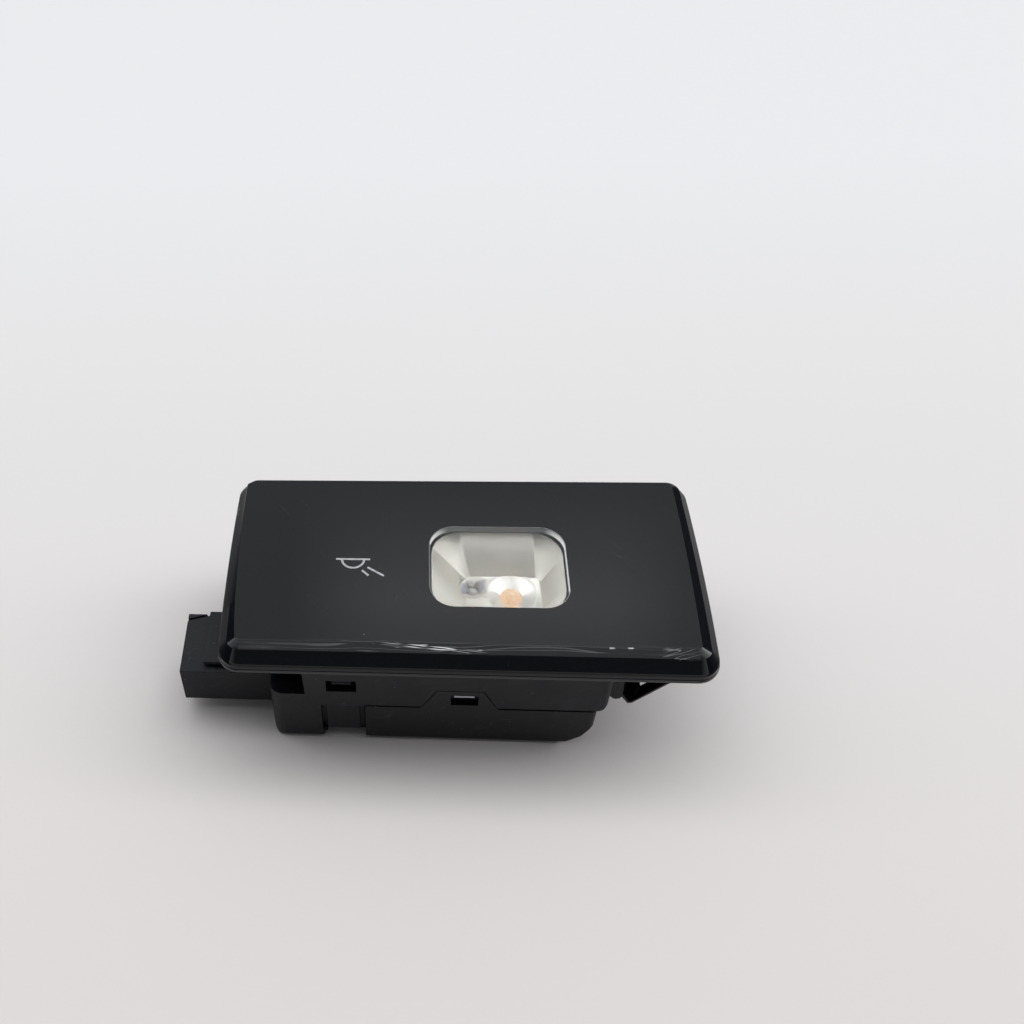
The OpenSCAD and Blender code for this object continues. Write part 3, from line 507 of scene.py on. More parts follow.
def speck_group():
    """Dust specks: small round dots at random places, as a mask."""
    tree, given, out = group("Specks", {"Scale": 420.0, "Size": 0.1, "Share": 0.3})
    place = own_place(tree)
    cells = put(tree, "ShaderNodeTexVoronoi", {"Vector": place, "Scale": given.outputs["Scale"]})
    dot = maths(tree, "LESS_THAN", cells.outputs["Distance"], given.outputs["Size"])
    tone = put(tree, "ShaderNodeSeparateColor", {"Color": cells.outputs["Color"]})
    chosen = maths(tree, "LESS_THAN", tone.outputs[0], given.outputs["Share"])
    tree.links.new(times(tree, dot, chosen), out.inputs["Mask"])
    return tree


def wear_group():
    """Rubbed edges, broken up by noise, as a mask."""
    tree, given, out = group("Rubbed Edges", {"Start": 0.53, "Breakup": 900.0})
    sharp = put(tree, "ShaderNodeNewGeometry").outputs["Pointiness"]
    place = own_place(tree)
    patchy = put(tree, "ShaderNodeTexNoise", {"Vector": place, "Scale": given.outputs["Breakup"]}, Detail=4.0)
    high = times(tree, maths(tree, "SUBTRACT", sharp, given.outputs["Start"]), 14.0, clamp=True)
    mask = times(tree, high, remap(tree, patchy.outputs["Fac"], 0.4, 0.65))
    tree.links.new(mask, out.inputs["Mask"])
    return tree


GROUPS = {}


def shared(name):
    """A shared node group, made when it is first asked for."""
    makers = {"grain": grain_group, "patch": patch_group, "hairlines": scratch_group, "specks": speck_group,
              "wear": wear_group}
    if name not in GROUPS:
        GROUPS[name] = makers[name]()
    return GROUPS[name]


def use(tree, name, **values):
    made = tree.nodes.new("ShaderNodeGroup")
    made.node_tree = shared(name)
    for socket, value in values.items():
        made.inputs[socket.replace("_", " ")].default_value = value
    return made


def mask_of(tree, name, **values):
    return use(tree, name, **values).outputs["Mask"]


def new_material(name, colour, **values):
    """A Principled material with its plain numbers set on the shader's own sockets."""
    material = bpy.data.materials.new(name)
    material.use_nodes = True
    tree = material.node_tree
    shader = tree.nodes["Principled BSDF"]
    shader.inputs["Base Color"].default_value = rgba(colour)
    for socket, value in values.items():
        shader.inputs[socket.replace("_", " ")].default_value = value
    return material, tree, shader


def bump(tree, shader, height, strength, distance):
    made = put(tree, "ShaderNodeBump", {"Height": height}, Strength=strength, Distance=distance)
    tree.links.new(made.outputs[0], shader.inputs["Normal"])


# Materials

def cover_scuffs(tree):
    """The scuffs, scratches and chips of a used part, as one mask."""
    # Each mark: its centre and half size in millimetres, its lines' stretch, turn and thinness, its weight
    marks = [
        ((-14.6, -21.1, 30.9), (3.0, 0.16, 0.5), (60, 2600, 2600), (0, 0, 0.06), 0.08, 0.7),
        ((-9.9, -21.5, 30.8), (3.2, 0.36, 0.5), (22, 2400, 2400), (0, 0, 0.1), 0.16, 1.8),
        ((-4.6, -21.8, 30.7), (3.4, 0.36, 0.6), (22, 2400, 2400), (0, 0, 0.13), 0.16, 1.8),
        ((1.0, -22.2, 30.5), (3.6, 0.4, 0.6), (22, 2600, 2600), (0, 0, 0.13), 0.07, 0.8),
        ((0, -21.7, 30.7), (46, 1.3, 0.8), (5, 1600, 1600), (0, 0, 0), 0.05, 0.1),
        ((40.5, -21.9, 30.6), (4.0, 1.2, 0.8), (60, 1500, 1500), (0, 0, -0.3), 0.03, 0.35),
        ((-47.3, 15.5, 27.7), (0.9, 1.6, 1.0), (1500, 160, 900), (0, 0, 0.4), 0.06, 0.5),
        ((-47.4, 3.6, 25.8), (0.7, 0.9, 0.9), (1500, 300, 900), (0, 0, 0.3), 0.08, 0.6),
        ((27.6, -21.1, 30.95), (0.6, 0.17, 0.4), (300, 300, 300), (0, 0, 0), 0.4, 0.8),
        ((31.0, -21.05, 31.0), (0.65, 0.15, 0.4), (300, 300, 300), (0, 0, 0), 0.4, 0.8),
    ]
    total = None
    for centre, half, stretch, turn, thin, weight in marks:
        place, reach = Vector(centre) * MM, Vector(half) * MM
        box = mask_of(tree, "patch", Centre=place, Half_Size=reach, Fade=0.5)
        lines = mask_of(tree, "hairlines", Stretch=stretch, Turn=turn, Thinness=thin)
        mask = times(tree, times(tree, box, lines), weight)
        total = mask if total is None else maths(tree, "MAXIMUM", total, mask)
    return total


def gloss_black(name, colour, ior):
    """Polished black plastic with a few dust specks, hairlines and the scuffs of a used part."""
    material, tree, shader = new_material(name, colour, IOR=ior)
    place = own_place(tree)
    scuff = cover_scuffs(tree)
    faint = mask_of(tree, "hairlines", Stretch=(60, 900, 900), Turn=(0, 0, 0.9), Thinness=0.003)
    dust = mask_of(tree, "specks", Scale=260.0, Size=0.03, Share=0.08)
    worn = mask_of(tree, "wear", Start=0.53, Breakup=700.0)
    off_top = remap(tree, facing(tree)[2], 0.97, 0.995, 1.0, 0.0)
    rubbed = times(tree, worn, off_top)
    haze = clouds(tree, place, 30.0, 2.0)
    light = maths(tree, "MAXIMUM", scuff, times(tree, dust, 0.4))
    base = blend(tree, light, rgba(colour), (0.92, 0.93, 0.95, 1))
    base = blend(tree, times(tree, rubbed, 0.15), base, (0.1, 0.1, 0.11, 1))
    base = blend(tree, times(tree, faint, 0.12), base, (0.12, 0.12, 0.13, 1))
    rough = remap(tree, haze, 0.3, 0.75, 0.05, 0.08)
    rough = maths(tree, "ADD", rough, times(tree, scuff, 0.4), clamp=True)
    rough = maths(tree, "ADD", rough, times(tree, rubbed, 0.1), clamp=True)
    paint(tree, shader, base, rough)
    wave = clouds(tree, place, 45.0, 1.0)
    height = maths(tree, "SUBTRACT", wave, times(tree, scuff, 0.8))
    bump(tree, shader, height, 0.04, 0.4 * MM)
    return material


def grained_black(name, colour, roughness, grain=0.16, rubbed=()):
    """Moulded matt black plastic: fine grain, broad tone shifts, dust, rubbed edges, and pale patches at
    given places that paint a highlight together with rubbed wear.
    """
    material, tree, shader = new_material(name, colour, IOR=1.33)
    moulded = use(tree, "grain", Scale=2400.0)
    worn = mask_of(tree, "wear", Start=0.535, Breakup=500.0)
    dust = mask_of(tree, "specks", Scale=520.0, Size=0.06, Share=0.3)
    scrape = mask_of(tree, "hairlines", Stretch=(70, 300, 520), Turn=(0.2, 0.5, 0.4), Thinness=0.01)
    base = mottle(tree, moulded.outputs["Value"], colour, 0.82, 1.25)
    base = blend(tree, times(tree, worn, 0.4), base, rgba(colour, 5.0))
    marks = maths(tree, "MAXIMUM", times(tree, dust, 0.35), times(tree, scrape, 0.05))
    base = blend(tree, marks, base, (0.3, 0.3, 0.31, 1))
    # Pale patches: painted highlight where a tooth catches the light, together with rubbed wear
    for centre, half, grey in rubbed:
        box = mask_of(tree, "patch", Centre=centre, Half_Size=half, Fade=0.1)
        base = blend(tree, box, base, (grey, grey, grey * 1.04, 1))
    rough = remap(tree, moulded.outputs["Value"], 0.3, 0.7, roughness - 0.06, roughness + 0.07)
    paint(tree, shader, base, rough)
    bump(tree, shader, moulded.outputs["Height"], grain, 0.06 * MM)
    return material


def clear_plastic():
    """The window: clear moulded plastic with a few dust specks."""
    material, tree, shader = new_material(
        "Clear Window Plastic", (0.97, 0.98, 0.98), Roughness=0.0, IOR=1.49, Transmission_Weight=1.0)
    dust = mask_of(tree, "specks", Scale=300.0, Size=0.03, Share=0.1)
    tree.links.new(times(tree, dust, 0.3), shader.inputs["Roughness"])
    return material


def window_side():
    """The window's side faces: grey, paler towards the bottom as painted light against the shade there, and
    with a painted glow at the ends for light coming through from the bowl.
    """
    grey = (0.16, 0.168, 0.178)
    material, tree, shader = new_material("Window Side Painted Light", grey, Roughness=0.35, Emission_Strength=0.5)
    place = own_place(tree)
    aside = remap(tree, maths(tree, "ABSOLUTE", facing(tree)[0]), 0.25, 0.8)
    deep = remap(tree, axes(tree, place)[2], LENS_HIGH.z, LENS_LOW.z + MM, 0.3, 1.0)
    dark = mottle(tree, clouds(tree, place, 500.0, 2.0), grey, 0.9, 1.1, 0.35, 0.65)
    # Painted light: the grey grows paler towards the bottom, where shade falls
    dark = blend(tree, deep, dark, rgba(grey, 2.0))
    # The sideways ends: a painted glow, in the colour and as emission
    pale = times(tree, aside, remap(tree, deep, 0.4, 0.9))
    paint(tree, shader, blend(tree, pale, dark, (0.93, 0.94, 0.93, 1)))
    tree.links.new(blend(tree, pale, (0, 0, 0, 1), (0.95, 0.96, 0.93, 1)), shader.inputs["Emission Color"])
    return material


def mirror_coat(colour):
    """Vapour-metallised plastic: a hazy mirror, smoother in the main lamp's well, with painted light: paler
    on faces turned to the front, darker on faces turned to the front and right, a painted highlight in the
    main lamp's well and painted dark reflection streaks by the side lamp.
    """
    material, tree, shader = new_material("Mirror Coat", colour, Metallic=0.55)
    place = own_place(tree)
    haze = clouds(tree, place, 110.0, 2.0)
    fine = clouds(tree, place, 420.0, 1.0)
    base = mottle(tree, haze, colour, 0.96, 1.04)
    x, y, _ = facing(tree)
    # Painted light on faces turned to the front, painted shade on faces turned to the front and right
    back = remap(tree, y, -0.45, -0.7)
    corner = times(tree, remap(tree, y, -0.1, -0.35), remap(tree, x, 0.15, 0.4))
    base = blend(tree, back, base, rgba(colour, 1.15))
    base = blend(tree, corner, base, rgba(colour, 0.7))
    rough = remap(tree, haze, 0.3, 0.7, 0.42, 0.52)
    low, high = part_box("main_led")
    middle = (low + high) / 2 + Vector((0.5, 0, 0)) * MM
    well = mask_of(tree, "patch", Centre=middle, Half_Size=Vector((6.5, 5.5, 3.5)) * MM, Fade=0.35)
    rough = maths(tree, "SUBTRACT", rough, times(tree, well, 0.17))
    # Painted highlight: the main lamp's well is made paler
    base = blend(tree, well, base, (0.96, 0.94, 0.89, 1))
    low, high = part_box("side_led")
    # Painted reflection: dark streaks in the side lamp's well
    painted_streaks = mask_of(tree, "patch", Centre=(low + high) / 2, Half_Size=Vector((3.0, 2.6, 3.0)) * MM, Fade=0.3)
    painted_streaks = times(tree, painted_streaks, remap(tree, fine, 0.42, 0.56))
    paint(tree, shader, blend(tree, painted_streaks, base, (0.4, 0.4, 0.42, 1)), rough)
    bump(tree, shader, fine, 0.03, 0.08 * MM)
    return material


def sign_print(colour):
    material, tree, shader = new_material("Sign Plastic", colour, Roughness=0.3)
    paint(tree, shader, mottle(tree, clouds(tree, own_place(tree), 900.0, 3.0), colour, 0.8, 1.12, 0.35))
    return material


def lamp_resin(name, colour, glow, painted_glow=0.0):
    """The lamps' cast resin, with faint clouds of phosphor and a painted glow for some of the light that the
    bowl gathers.
    """
    material, tree, shader = new_material(
        name, colour, Subsurface_Weight=0.3, Subsurface_Scale=0.8 * MM, Coat_Weight=0.6,
        Emission_Color=rgba(colour), Emission_Strength=painted_glow)
    phosphor = clouds(tree, own_place(tree), 1400.0, 4.0)
    base = blend(tree, remap(tree, phosphor, 0.35, 0.65), rgba(colour, 0.95), rgba(glow))
    paint(tree, shader, base, remap(tree, phosphor, 0.3, 0.7, 0.25, 0.4))
    return material


def blackened_steel():
    """Oiled and blackened spring steel with bright rubbed edges."""
    colour = (0.012, 0.012, 0.014)
    material, tree, shader = new_material("Blackened Steel", colour, Metallic=0.55)
    worn = mask_of(tree, "wear", Start=0.54, Breakup=800.0)
    rolled = mask_of(tree, "hairlines", Stretch=(300, 60, 300), Turn=(0, 0, 0.05), Thinness=0.05)
    moulded = use(tree, "grain", Scale=3200.0)
    base = blend(tree, times(tree, rolled, 0.3), rgba(colour), (0.05, 0.05, 0.052, 1))
    base = blend(tree, times(tree, worn, 0.8), base, (0.42, 0.41, 0.39, 1))
    paint(tree, shader, base, remap(tree, moulded.outputs["Value"], 0.3, 0.7, 0.28, 0.44))
    bump(tree, shader, moulded.outputs["Height"], 0.06, 0.04 * MM)
    return material


def plain_metal(name, colour, roughness):
    """Plated or bare metal with fine rolling lines."""
    material, tree, shader = new_material(name, colour, Metallic=1.0)
    lines = mask_of(tree, "hairlines", Stretch=(120, 900, 900), Turn=(0, 0, 0.3), Thinness=0.08)
    moulded = use(tree, "grain", Scale=1800.0)
    base = mottle(tree, moulded.outputs["Value"], colour, 0.8, 1.1)
    paint(tree, shader, base, maths(tree, "ADD", times(tree, lines, 0.12), roughness))
    return material


def solder_mask():
    """Green lacquered board with the pale weave showing through."""
    colour = (0.012, 0.075, 0.035)
    material, tree, shader = new_material("Lacquered Board", colour, Roughness=0.3, Coat_Weight=0.3)
    moulded = use(tree, "grain", Scale=900.0)
    dust = mask_of(tree, "specks", Scale=700.0, Size=0.12, Share=0.3)
    base = mottle(tree, moulded.outputs["Value"], colour, 0.8, 1.5)
    base = blend(tree, times(tree, dust, 0.7), base, (0.5, 0.45, 0.3, 1))
    under_lamps = mask_of(
        tree, "patch", Centre=Vector((6.8, -0.8, 18.6)) * MM, Half_Size=Vector((11.0, 6.0, 0.4)) * MM,
        Fade=0.05)
    paint(tree, shader, blend(tree, under_lamps, base, (0.8, 0.8, 0.77, 1)))
    return material


def chalky(name, colour, roughness=0.6):
    """Ceramic or pale moulded plastic with a faint mottle."""
    material, tree, shader = new_material(name, colour)
    moulded = use(tree, "grain", Scale=2600.0)
    base = mottle(tree, moulded.outputs["Value"], colour, 0.85, 1.1)
    rough = remap(tree, moulded.outputs["Value"], 0.3, 0.7, roughness - 0.08, roughness + 0.08)
    paint(tree, shader, base, rough)
    bump(tree, shader, moulded.outputs["Height"], 0.1, 0.05 * MM)
    return material


# Cover

def cover_levels(size, turn_steps=8):
    """The cover's section as steps: how much further in, and how much higher."""
    foot = Vector((size.lip_out, size.lip_height + size.upright))
    head = Vector((size.inset - size.bevel_width, size.height - size.bevel_drop))
    turn = math.atan2(head.x - foot.x, head.y - foot.y)
    radius = size.turn_radius
    middle = Vector((size.lip_out + radius, foot.y - radius * math.tan(turn / 2)))
    places = [Vector((size.lip_out, size.lip_height))]
    for i in range(turn_steps + 1):
        angle = turn * i / turn_steps
        places.append(middle + radius * Vector((-math.cos(angle), math.sin(angle))))
    places += [head, Vector((size.inset, size.height - SLACK))]
    previous = Vector((0, size.lip_height - size.lip_fall))
    steps = []
    for place in places:
        steps.append((place.x - previous.x, place.y - previous.y))
        previous = place
    return steps


def bowed_plate(size, bow_cuts=28):
    """The cover's outline at the rim, as one flat face."""
    width = COVER_HIGH.x - COVER_LOW.x - 2 * size.bow
    depth = COVER_HIGH.y - COVER_LOW.y
    rim = COVER_HIGH.z - size.height
    plate = round_plate("cover_skin", (0, 0, rim), width, depth, size.corner, 14)
    side = width / 2 - SLACK
    pick(plate, lambda e: all(abs(v.co.x) > side for v in e.verts), "EDGE")
    bpy.ops.mesh.subdivide(number_cuts=bow_cuts)
    work = bmesh.from_edit_mesh(plate.data)
    for v in work.verts:
        reach = 1 - (2 * v.co.y / depth) ** 2
        v.co.x += math.copysign(size.bow * reach, v.co.x)
    bmesh.update_edit_mesh(plate.data)
    return plate


def is_flat_at(height, upward):
    """A test for level faces at a height, looking up or down."""
    way = 1 if upward else -1
    return lambda face: way * face.normal.z > 0.9 and abs(face.calc_center_median().z - height) < 2 * SLACK


def reach_top(plate, size):
    """Moves the flat top's outline further out at its left, right and back edges."""
    depth = COVER_HIGH.y - COVER_LOW.y - 2 * size.inset
    work = bmesh.from_edit_mesh(plate.data)
    for v in work.verts:
        if v.co.z > COVER_HIGH.z - 5 * SLACK:
            share = min(1.0, max(0.0, 0.5 + v.co.y / depth))
            v.co.x += -size.left_reach * math.sqrt(share) if v.co.x < 0 else size.right_reach * share
            v.co.y += size.back_reach if v.co.y > 0 else 0
    bmesh.update_edit_mesh(plate.data)


def build_cover_skin(size):
    plate = bowed_plate(size)
    foot = size.lip_height - size.lip_fall
    rim = COVER_HIGH.z - size.height
    bpy.ops.mesh.select_mode(type="FACE")
    bpy.ops.mesh.select_all(action="SELECT")
    raise_faces(foot)
    bpy.ops.mesh.select_all(action="SELECT")
    bpy.ops.mesh.normals_make_consistent(inside=False)
    pick(plate, is_flat_at(rim + foot, True))
    for inward, upward in cover_levels(size):
        if inward > SLACK / 10:
            bpy.ops.mesh.inset(thickness=inward, depth=upward)
        else:
            raise_faces(upward)
    reach_top(plate, size)
    pick(plate, is_flat_at(rim, False))
    bpy.ops.mesh.inset(thickness=size.wall, depth=0)
    raise_faces(size.lip_height + size.upright)
    rise = size.height - size.wall - size.lip_height - size.upright
    bpy.ops.mesh.inset(thickness=size.inset + INNER_INSET - size.wall, depth=-rise)
    close_edit()
    outwards(plate)
    return plate


def window_cutter(name, grow, low, high, size):
    edge = Vector((size.window_step - grow, size.window_step - grow, 0))
    low_corner = Vector((LENS_LOW.x, LENS_LOW.y, low)) + edge
    high_corner = Vector((LENS_HIGH.x, LENS_HIGH.y, high)) - edge
    return rounded_slab(name, low_corner, high_corner, size.window_radius + grow, 16)


def cover_rib(name, low, high):
    """An upright rib that thins towards its free edge."""
    middle = (low + high) / 2
    deselect_all()
    bpy.ops.mesh.primitive_cube_add(size=1, location=middle)
    rib = bpy.context.object
    rib.name = name
    rib.scale = high - low
    place_in_mesh(rib)
    edit(rib)
    pick(rib, lambda face: face.normal.z < -0.9)
    bpy.ops.transform.resize(value=(RIB_DRAFT, RIB_DRAFT, 1), center_override=(middle.x, middle.y, low.z))
    close_edit()
    soften(rib, RIB_ROUNDING)
    return rib


def latch_legs():
    """The cover's latch legs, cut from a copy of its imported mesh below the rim."""
    legs = copy_of("front_cover", "cover_latch_legs")
    rim = COVER_HIGH.z - bpy.context.scene.dome_cover.height
    edit(legs)
    top = (0, 0, rim - LEG_GAP)
    bpy.ops.mesh.bisect(plane_co=top, plane_no=(0, 0, 1), use_fill=True, clear_outer=True)
    close_edit()
    soften_copy(legs, LEG_ROUNDING)
    return legs


def finish_cover(skin, size, colour):
    """Gloss all over; copies that reflect less paint shade on the side and back slopes and on the front's
    upright band.
    """
    finish_piece(skin, gloss_black("Gloss Black Plastic", colour, 1.46), "gloss_cover", "front_cover")
    # Painted shade: this copy reflects least and goes on the side and back slopes; the next one goes on the
    # front's upright band
    skin.data.materials.append(gloss_black("Shade-Painted Black Plastic", colour, 1.08))
    skin.data.materials.append(gloss_black("Shaded Black Plastic", colour, 1.3))
    lip = COVER_HIGH.z - size.height + size.lip_height + size.edge_rounding
    for face in skin.data.polygons:
        x, y, z = face.normal
        if face.center.z <= lip:
            continue
        if (abs(x) > 0.35 or y > 0.35) and 0.1 < z < 0.96:
            face.material_index = 1
        elif abs(z) < 0.35 and y < -0.3:
            face.material_index = 2


class DOME_OT_cover(bpy.types.Operator):
    """Models the gloss cover, its ribs and its latch legs"""

    bl_idname = "dome.cover"
    bl_label = "Cover"

    def execute(self, context):
        size = context.scene.dome_cover
        finish = context.scene.dome_finish
        skin = build_cover_skin(size)
        under = COVER_HIGH.z - size.wall
        below = LENS_LOW.z - 2 * PAST
        rim = window_cutter("rim", size.window_rim, LENS_LOW.z, under + RIM_SINK, size)
        cut(skin, rim, "UNION")
        cut(skin, window_cutter("hole", FIT, below, COVER_HIGH.z + 2 * PAST, size))
        cut(skin, window_cutter("step", size.window_step + FIT, below, LENS_LOW.z + size.step_height, size))
        soften(skin, size.edge_rounding, 3, angle=20, smooth=30)
        finish_cover(skin, size, finish.gloss)
        low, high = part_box("housing_frame")
        places = [(x, low.y) for x in FRONT_LEG_X] + [(x, high.y) for x in BACK_LEG_X]
        # Pale patches on each tooth paint its highlight together with rubbed wear
        lit_worn_teeth = [(Vector((x, y, LEG_TOOTH_Z)), LEG_TOOTH_HALF, LEG_TOOTH_HIGHLIGHT_GREY) for x, y in places]
        matt = grained_black("Cover Underside Black", finish.grained, 0.45, rubbed=lit_worn_teeth)
        finish_piece(latch_legs(), matt, "gloss_cover", "front_cover")
        rib_size = Vector((RIB_LENGTH, RIB_THICKNESS, size.rib_depth + RIB_SINK))
        for i, (x, y) in enumerate((x, y) for x in RIB_X for y in RIB_Y):
            foot = Vector((x, y, under - size.rib_depth))
            rib = cover_rib(f"cover_rib_{i}", foot, foot + rib_size)
            finish_piece(rib, matt, "gloss_cover", "front_cover")
        return {"FINISHED"}


def finish_window(window, clear):
    """Clear above and below, grey with painted light and a painted glow at the sides, and pale grey round the
    far stretch of the top edge as a painted highlight.
    """
    finish_piece(window, clear, "clear_window", "window_lens")
    window.data.materials.append(window_side())
    # Pale grey on the far stretch of the top edge: a painted highlight
    window.data.materials.append(chalky("Window Rim Painted Highlight", (0.25, 0.26, 0.275), 0.4))
    top = LENS_HIGH.z - 1.5 * WINDOW_ROUNDING
    for face in window.data.polygons:
        _, y, z = face.normal
        if -0.97 < z < 0.3:
            face.material_index = 1
        elif 0.3 <= z < 0.97 and y > -0.25 and face.center.z > top:
            face.material_index = 2


class DOME_OT_window(bpy.types.Operator):
    """Models the clear window with its step"""

    bl_idname = "dome.window"
    bl_label = "Window"

    def execute(self, context):
        size = context.scene.dome_cover
        clear = clear_plastic()
        window = window_cutter("clear_window", -FIT, LENS_LOW.z, LENS_HIGH.z, size)
        soften(window, WINDOW_ROUNDING, angle=40)
        finish_window(window, clear)
        foot_top = LENS_LOW.z + size.step_height - FIT
        foot = window_cutter("window_foot", size.window_step - FIT, LENS_LOW.z, foot_top, size)
        cut(foot, window_cutter("slab_hole", FIT / 2, LENS_LOW.z - PAST, LENS_HIGH.z, size))
        finish_piece(foot, clear, "clear_window", "window_lens")
        return {"FINISHED"}


class DOME_OT_sign(bpy.types.Operator):
    """Finishes the lamp sign and the parts behind it"""

    bl_idname = "dome.sign"
    bl_label = "Lamp Sign"

    def execute(self, context):
        finish_node("symbol_inlay", sign_print(context.scene.dome_finish.sign))
        white = chalky("White Plastic", (0.8, 0.8, 0.77), 0.45)
        finish_node("symbol_diffuser", white)
        finish_node("light_shaft", white)
        finish_node("touch_electrode", plain_metal("Copper Foil", (0.75, 0.4, 0.24), 0.25))
        finish_node("touch_spring", plain_metal("Gilt Wire", (0.8, 0.6, 0.25), 0.2))
        return {"FINISHED"}


class DOME_OT_reflector(bpy.types.Operator):
    """Finishes the metallised bowl and its lamps"""

    bl_idname = "dome.reflector"
    bl_label = "Reflector"

    def execute(self, context):
        bowl = copy_of("reflector", "reflector_bowl")
        shade(bowl, 45)
        finish_piece(bowl, mirror_coat(context.scene.dome_finish.mirror), "mirror_coat", "reflector")
        # The main lamp's resin gets a painted glow
        finish_node("main_led", lamp_resin("Warm Lamp Resin", (1.0, 0.62, 0.36), (1.0, 0.8, 0.56), 0.32))
        pale = lamp_resin("Pale Lamp Resin", (0.82, 0.8, 0.74), (0.93, 0.92, 0.88))
        for node in ("side_led", "symbol_led"):
            finish_node(node, pale)
        return {"FINISHED"}


def seam_ring(size):
    """The cutter of the groove round the tray's top edge; it passes under the tabs."""
    low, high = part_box("back_shell")
    edge = Vector((PAST, PAST, 0))
    foot, head = size.seam - size.groove, size.seam + FIT
    outer_low = Vector((low.x, low.y, foot)) - edge
    outer_high = Vector((high.x, high.y, head)) + edge
    ring = rounded_slab("seam_ring", outer_low, outer_high, size.tray_corner + PAST)
    inner_low = Vector((low.x - 2 * PAST, low.y + size.groove, foot - PAST))
    inner_high = Vector((high.x - size.groove, high.y - size.groove, head + PAST))
    cut(ring, rounded_slab("inner", inner_low, inner_high, size.tray_corner - size.groove))
    half = size.tab_foot / 2 + size.tab_margin
    tab_low = Vector((size.tab_middle - half, low.y - 2 * PAST, foot - PAST))
    tab_high = Vector((size.tab_middle + half, high.y + 2 * PAST, head + PAST))
    cut(ring, rounded_slab("tab_gap", tab_low, tab_high, size.rounding))
    return ring


class DOME_OT_housing(bpy.types.Operator):
    """Rounds and grains the housing and the back shell"""

    bl_idname = "dome.housing"
    bl_label = "Housing"

    def execute(self, context):
        black = context.scene.dome_finish.grained
        size = context.scene.dome_housing
        housing = copy_of("housing_frame", "housing_shell")
        soften_copy(housing, size.rounding)
        # Pale patches on each tooth paint its highlight together with rubbed wear
        lit_worn_teeth = [(Vector((TAB_TOOTH_X, corner.y, TAB_TOOTH_Z)), TAB_TOOTH_HALF, TAB_TOOTH_HIGHLIGHT_GREY)
                 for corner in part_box("housing_frame")]
        grained = grained_black("Grained Housing Black", black, 0.46, rubbed=lit_worn_teeth)
        finish_piece(housing, grained, "housing_black", "housing_frame")
        tray = copy_of("back_shell", "back_tray")
        cut(tray, seam_ring(size))
        soften_copy(tray, size.rounding)
        satin = grained_black("Satin Tray Black", [c * TRAY_SHADE for c in black], 0.38, grain=0.1)
        finish_piece(tray, satin, "shell_black", "back_shell")
        return {"FINISHED"}


class DOME_OT_socket(bpy.types.Operator):
    """Rounds and grains the plug socket and plates its pins"""

    bl_idname = "dome.socket"
    bl_label = "Plug Socket"

    def execute(self, context):
        black = [c * SOCKET_SHADE for c in context.scene.dome_finish.grained]
        socket = copy_of("connector_header", "plug_socket")
        soften_copy(socket, SOCKET_ROUNDING)
        grained = grained_black("Socket Black", black, 0.5, grain=0.2)
        finish_piece(socket, grained, "socket_black", "connector_header")
        finish_node("contact_pins", plain_metal("Tinned Pins", (0.72, 0.7, 0.64), 0.25))
        return {"FINISHED"}


class DOME_OT_clips(bpy.types.Operator):
    """Finishes the two sprung clips"""

    bl_idname = "dome.clips"
    bl_label = "Retaining Clips"

    def execute(self, context):
        steel = blackened_steel()
        for end in ("front", "rear"):
            leaf = copy_of(f"retaining_clip_{end}", f"clip_leaf_{end}")
            soften_copy(leaf, CLIP_ROUNDING)
            finish_piece(leaf, steel, "spring_steel", f"retaining_clip_{end}", body=f"{end}_clip")
        return {"FINISHED"}


class DOME_OT_board(bpy.types.Operator):
    """Finishes the circuit board, what stands on it and its screws"""

    bl_idname = "dome.board"
    bl_label = "Circuit Board"

    def execute(self, context):
        finish_node("circuit_board", solder_mask())
        epoxy = grained_black("Chip Epoxy", (0.02, 0.02, 0.021), 0.55)
        for node in ("driver_chip", "power_transistor", "chip_resistors"):
            finish_node(node, epoxy)
        finish_node("ceramic_capacitors", chalky("Tan Ceramic", (0.45, 0.33, 0.18)))
        finish_node("storage_coil", chalky("Ferrite", (0.04, 0.04, 0.045)))
        finish_node("board_screws", plain_metal("Zinc", (0.62, 0.63, 0.66), 0.3))
        return {"FINISHED"}


# Stage

def floor_material():
    material, tree, shader = new_material(
        "Pale Floor", (0.88, 0.87, 0.865), Roughness=0.7, Specular_IOR_Level=0.2)
    place = own_place(tree)
    # Painted light falloff: the floor is paler and cooler towards the back, darker and warmer towards the
    # front
    far = remap(tree, axes(tree, place)[1], -0.08, 0.2)
    base = blend(tree, far, (0.785, 0.747, 0.732, 1), (0.875, 0.882, 0.895, 1))
    dust = mask_of(tree, "specks", Scale=60.0, Size=0.015, Share=0.3)
    base = blend(tree, times(tree, dust, 0.45), base, (0.45, 0.44, 0.43, 1))
    paint(tree, shader, base)
    bump(tree, shader, clouds(tree, place, 900.0, 5.0), 0.04, 0.2 * MM)
    return material


def ramp(tree, value, low, high, stops):
    """A grey curve through stops of (place, level), levels up to 4."""
    share = remap(tree, value, low, high)
    made = put(tree, "ShaderNodeValToRGB", {"Fac": share})
    marks = made.color_ramp.elements
    while len(marks) < len(stops):
        marks.new(0.5)
    for mark, (place, level) in zip(marks, stops):
        mark.position = (place - low) / (high - low)
        mark.color = (level / 4, level / 4, level / 4, 1)
    return times(tree, made.outputs["Color"], 4.0)


def mix_levels(tree, share, first, second):
    """The first level where the share is 0, and the second where it is 1."""
    kept = times(tree, first, maths(tree, "SUBTRACT", 1.0, share))
    return maths(tree, "ADD", kept, times(tree, share, second))


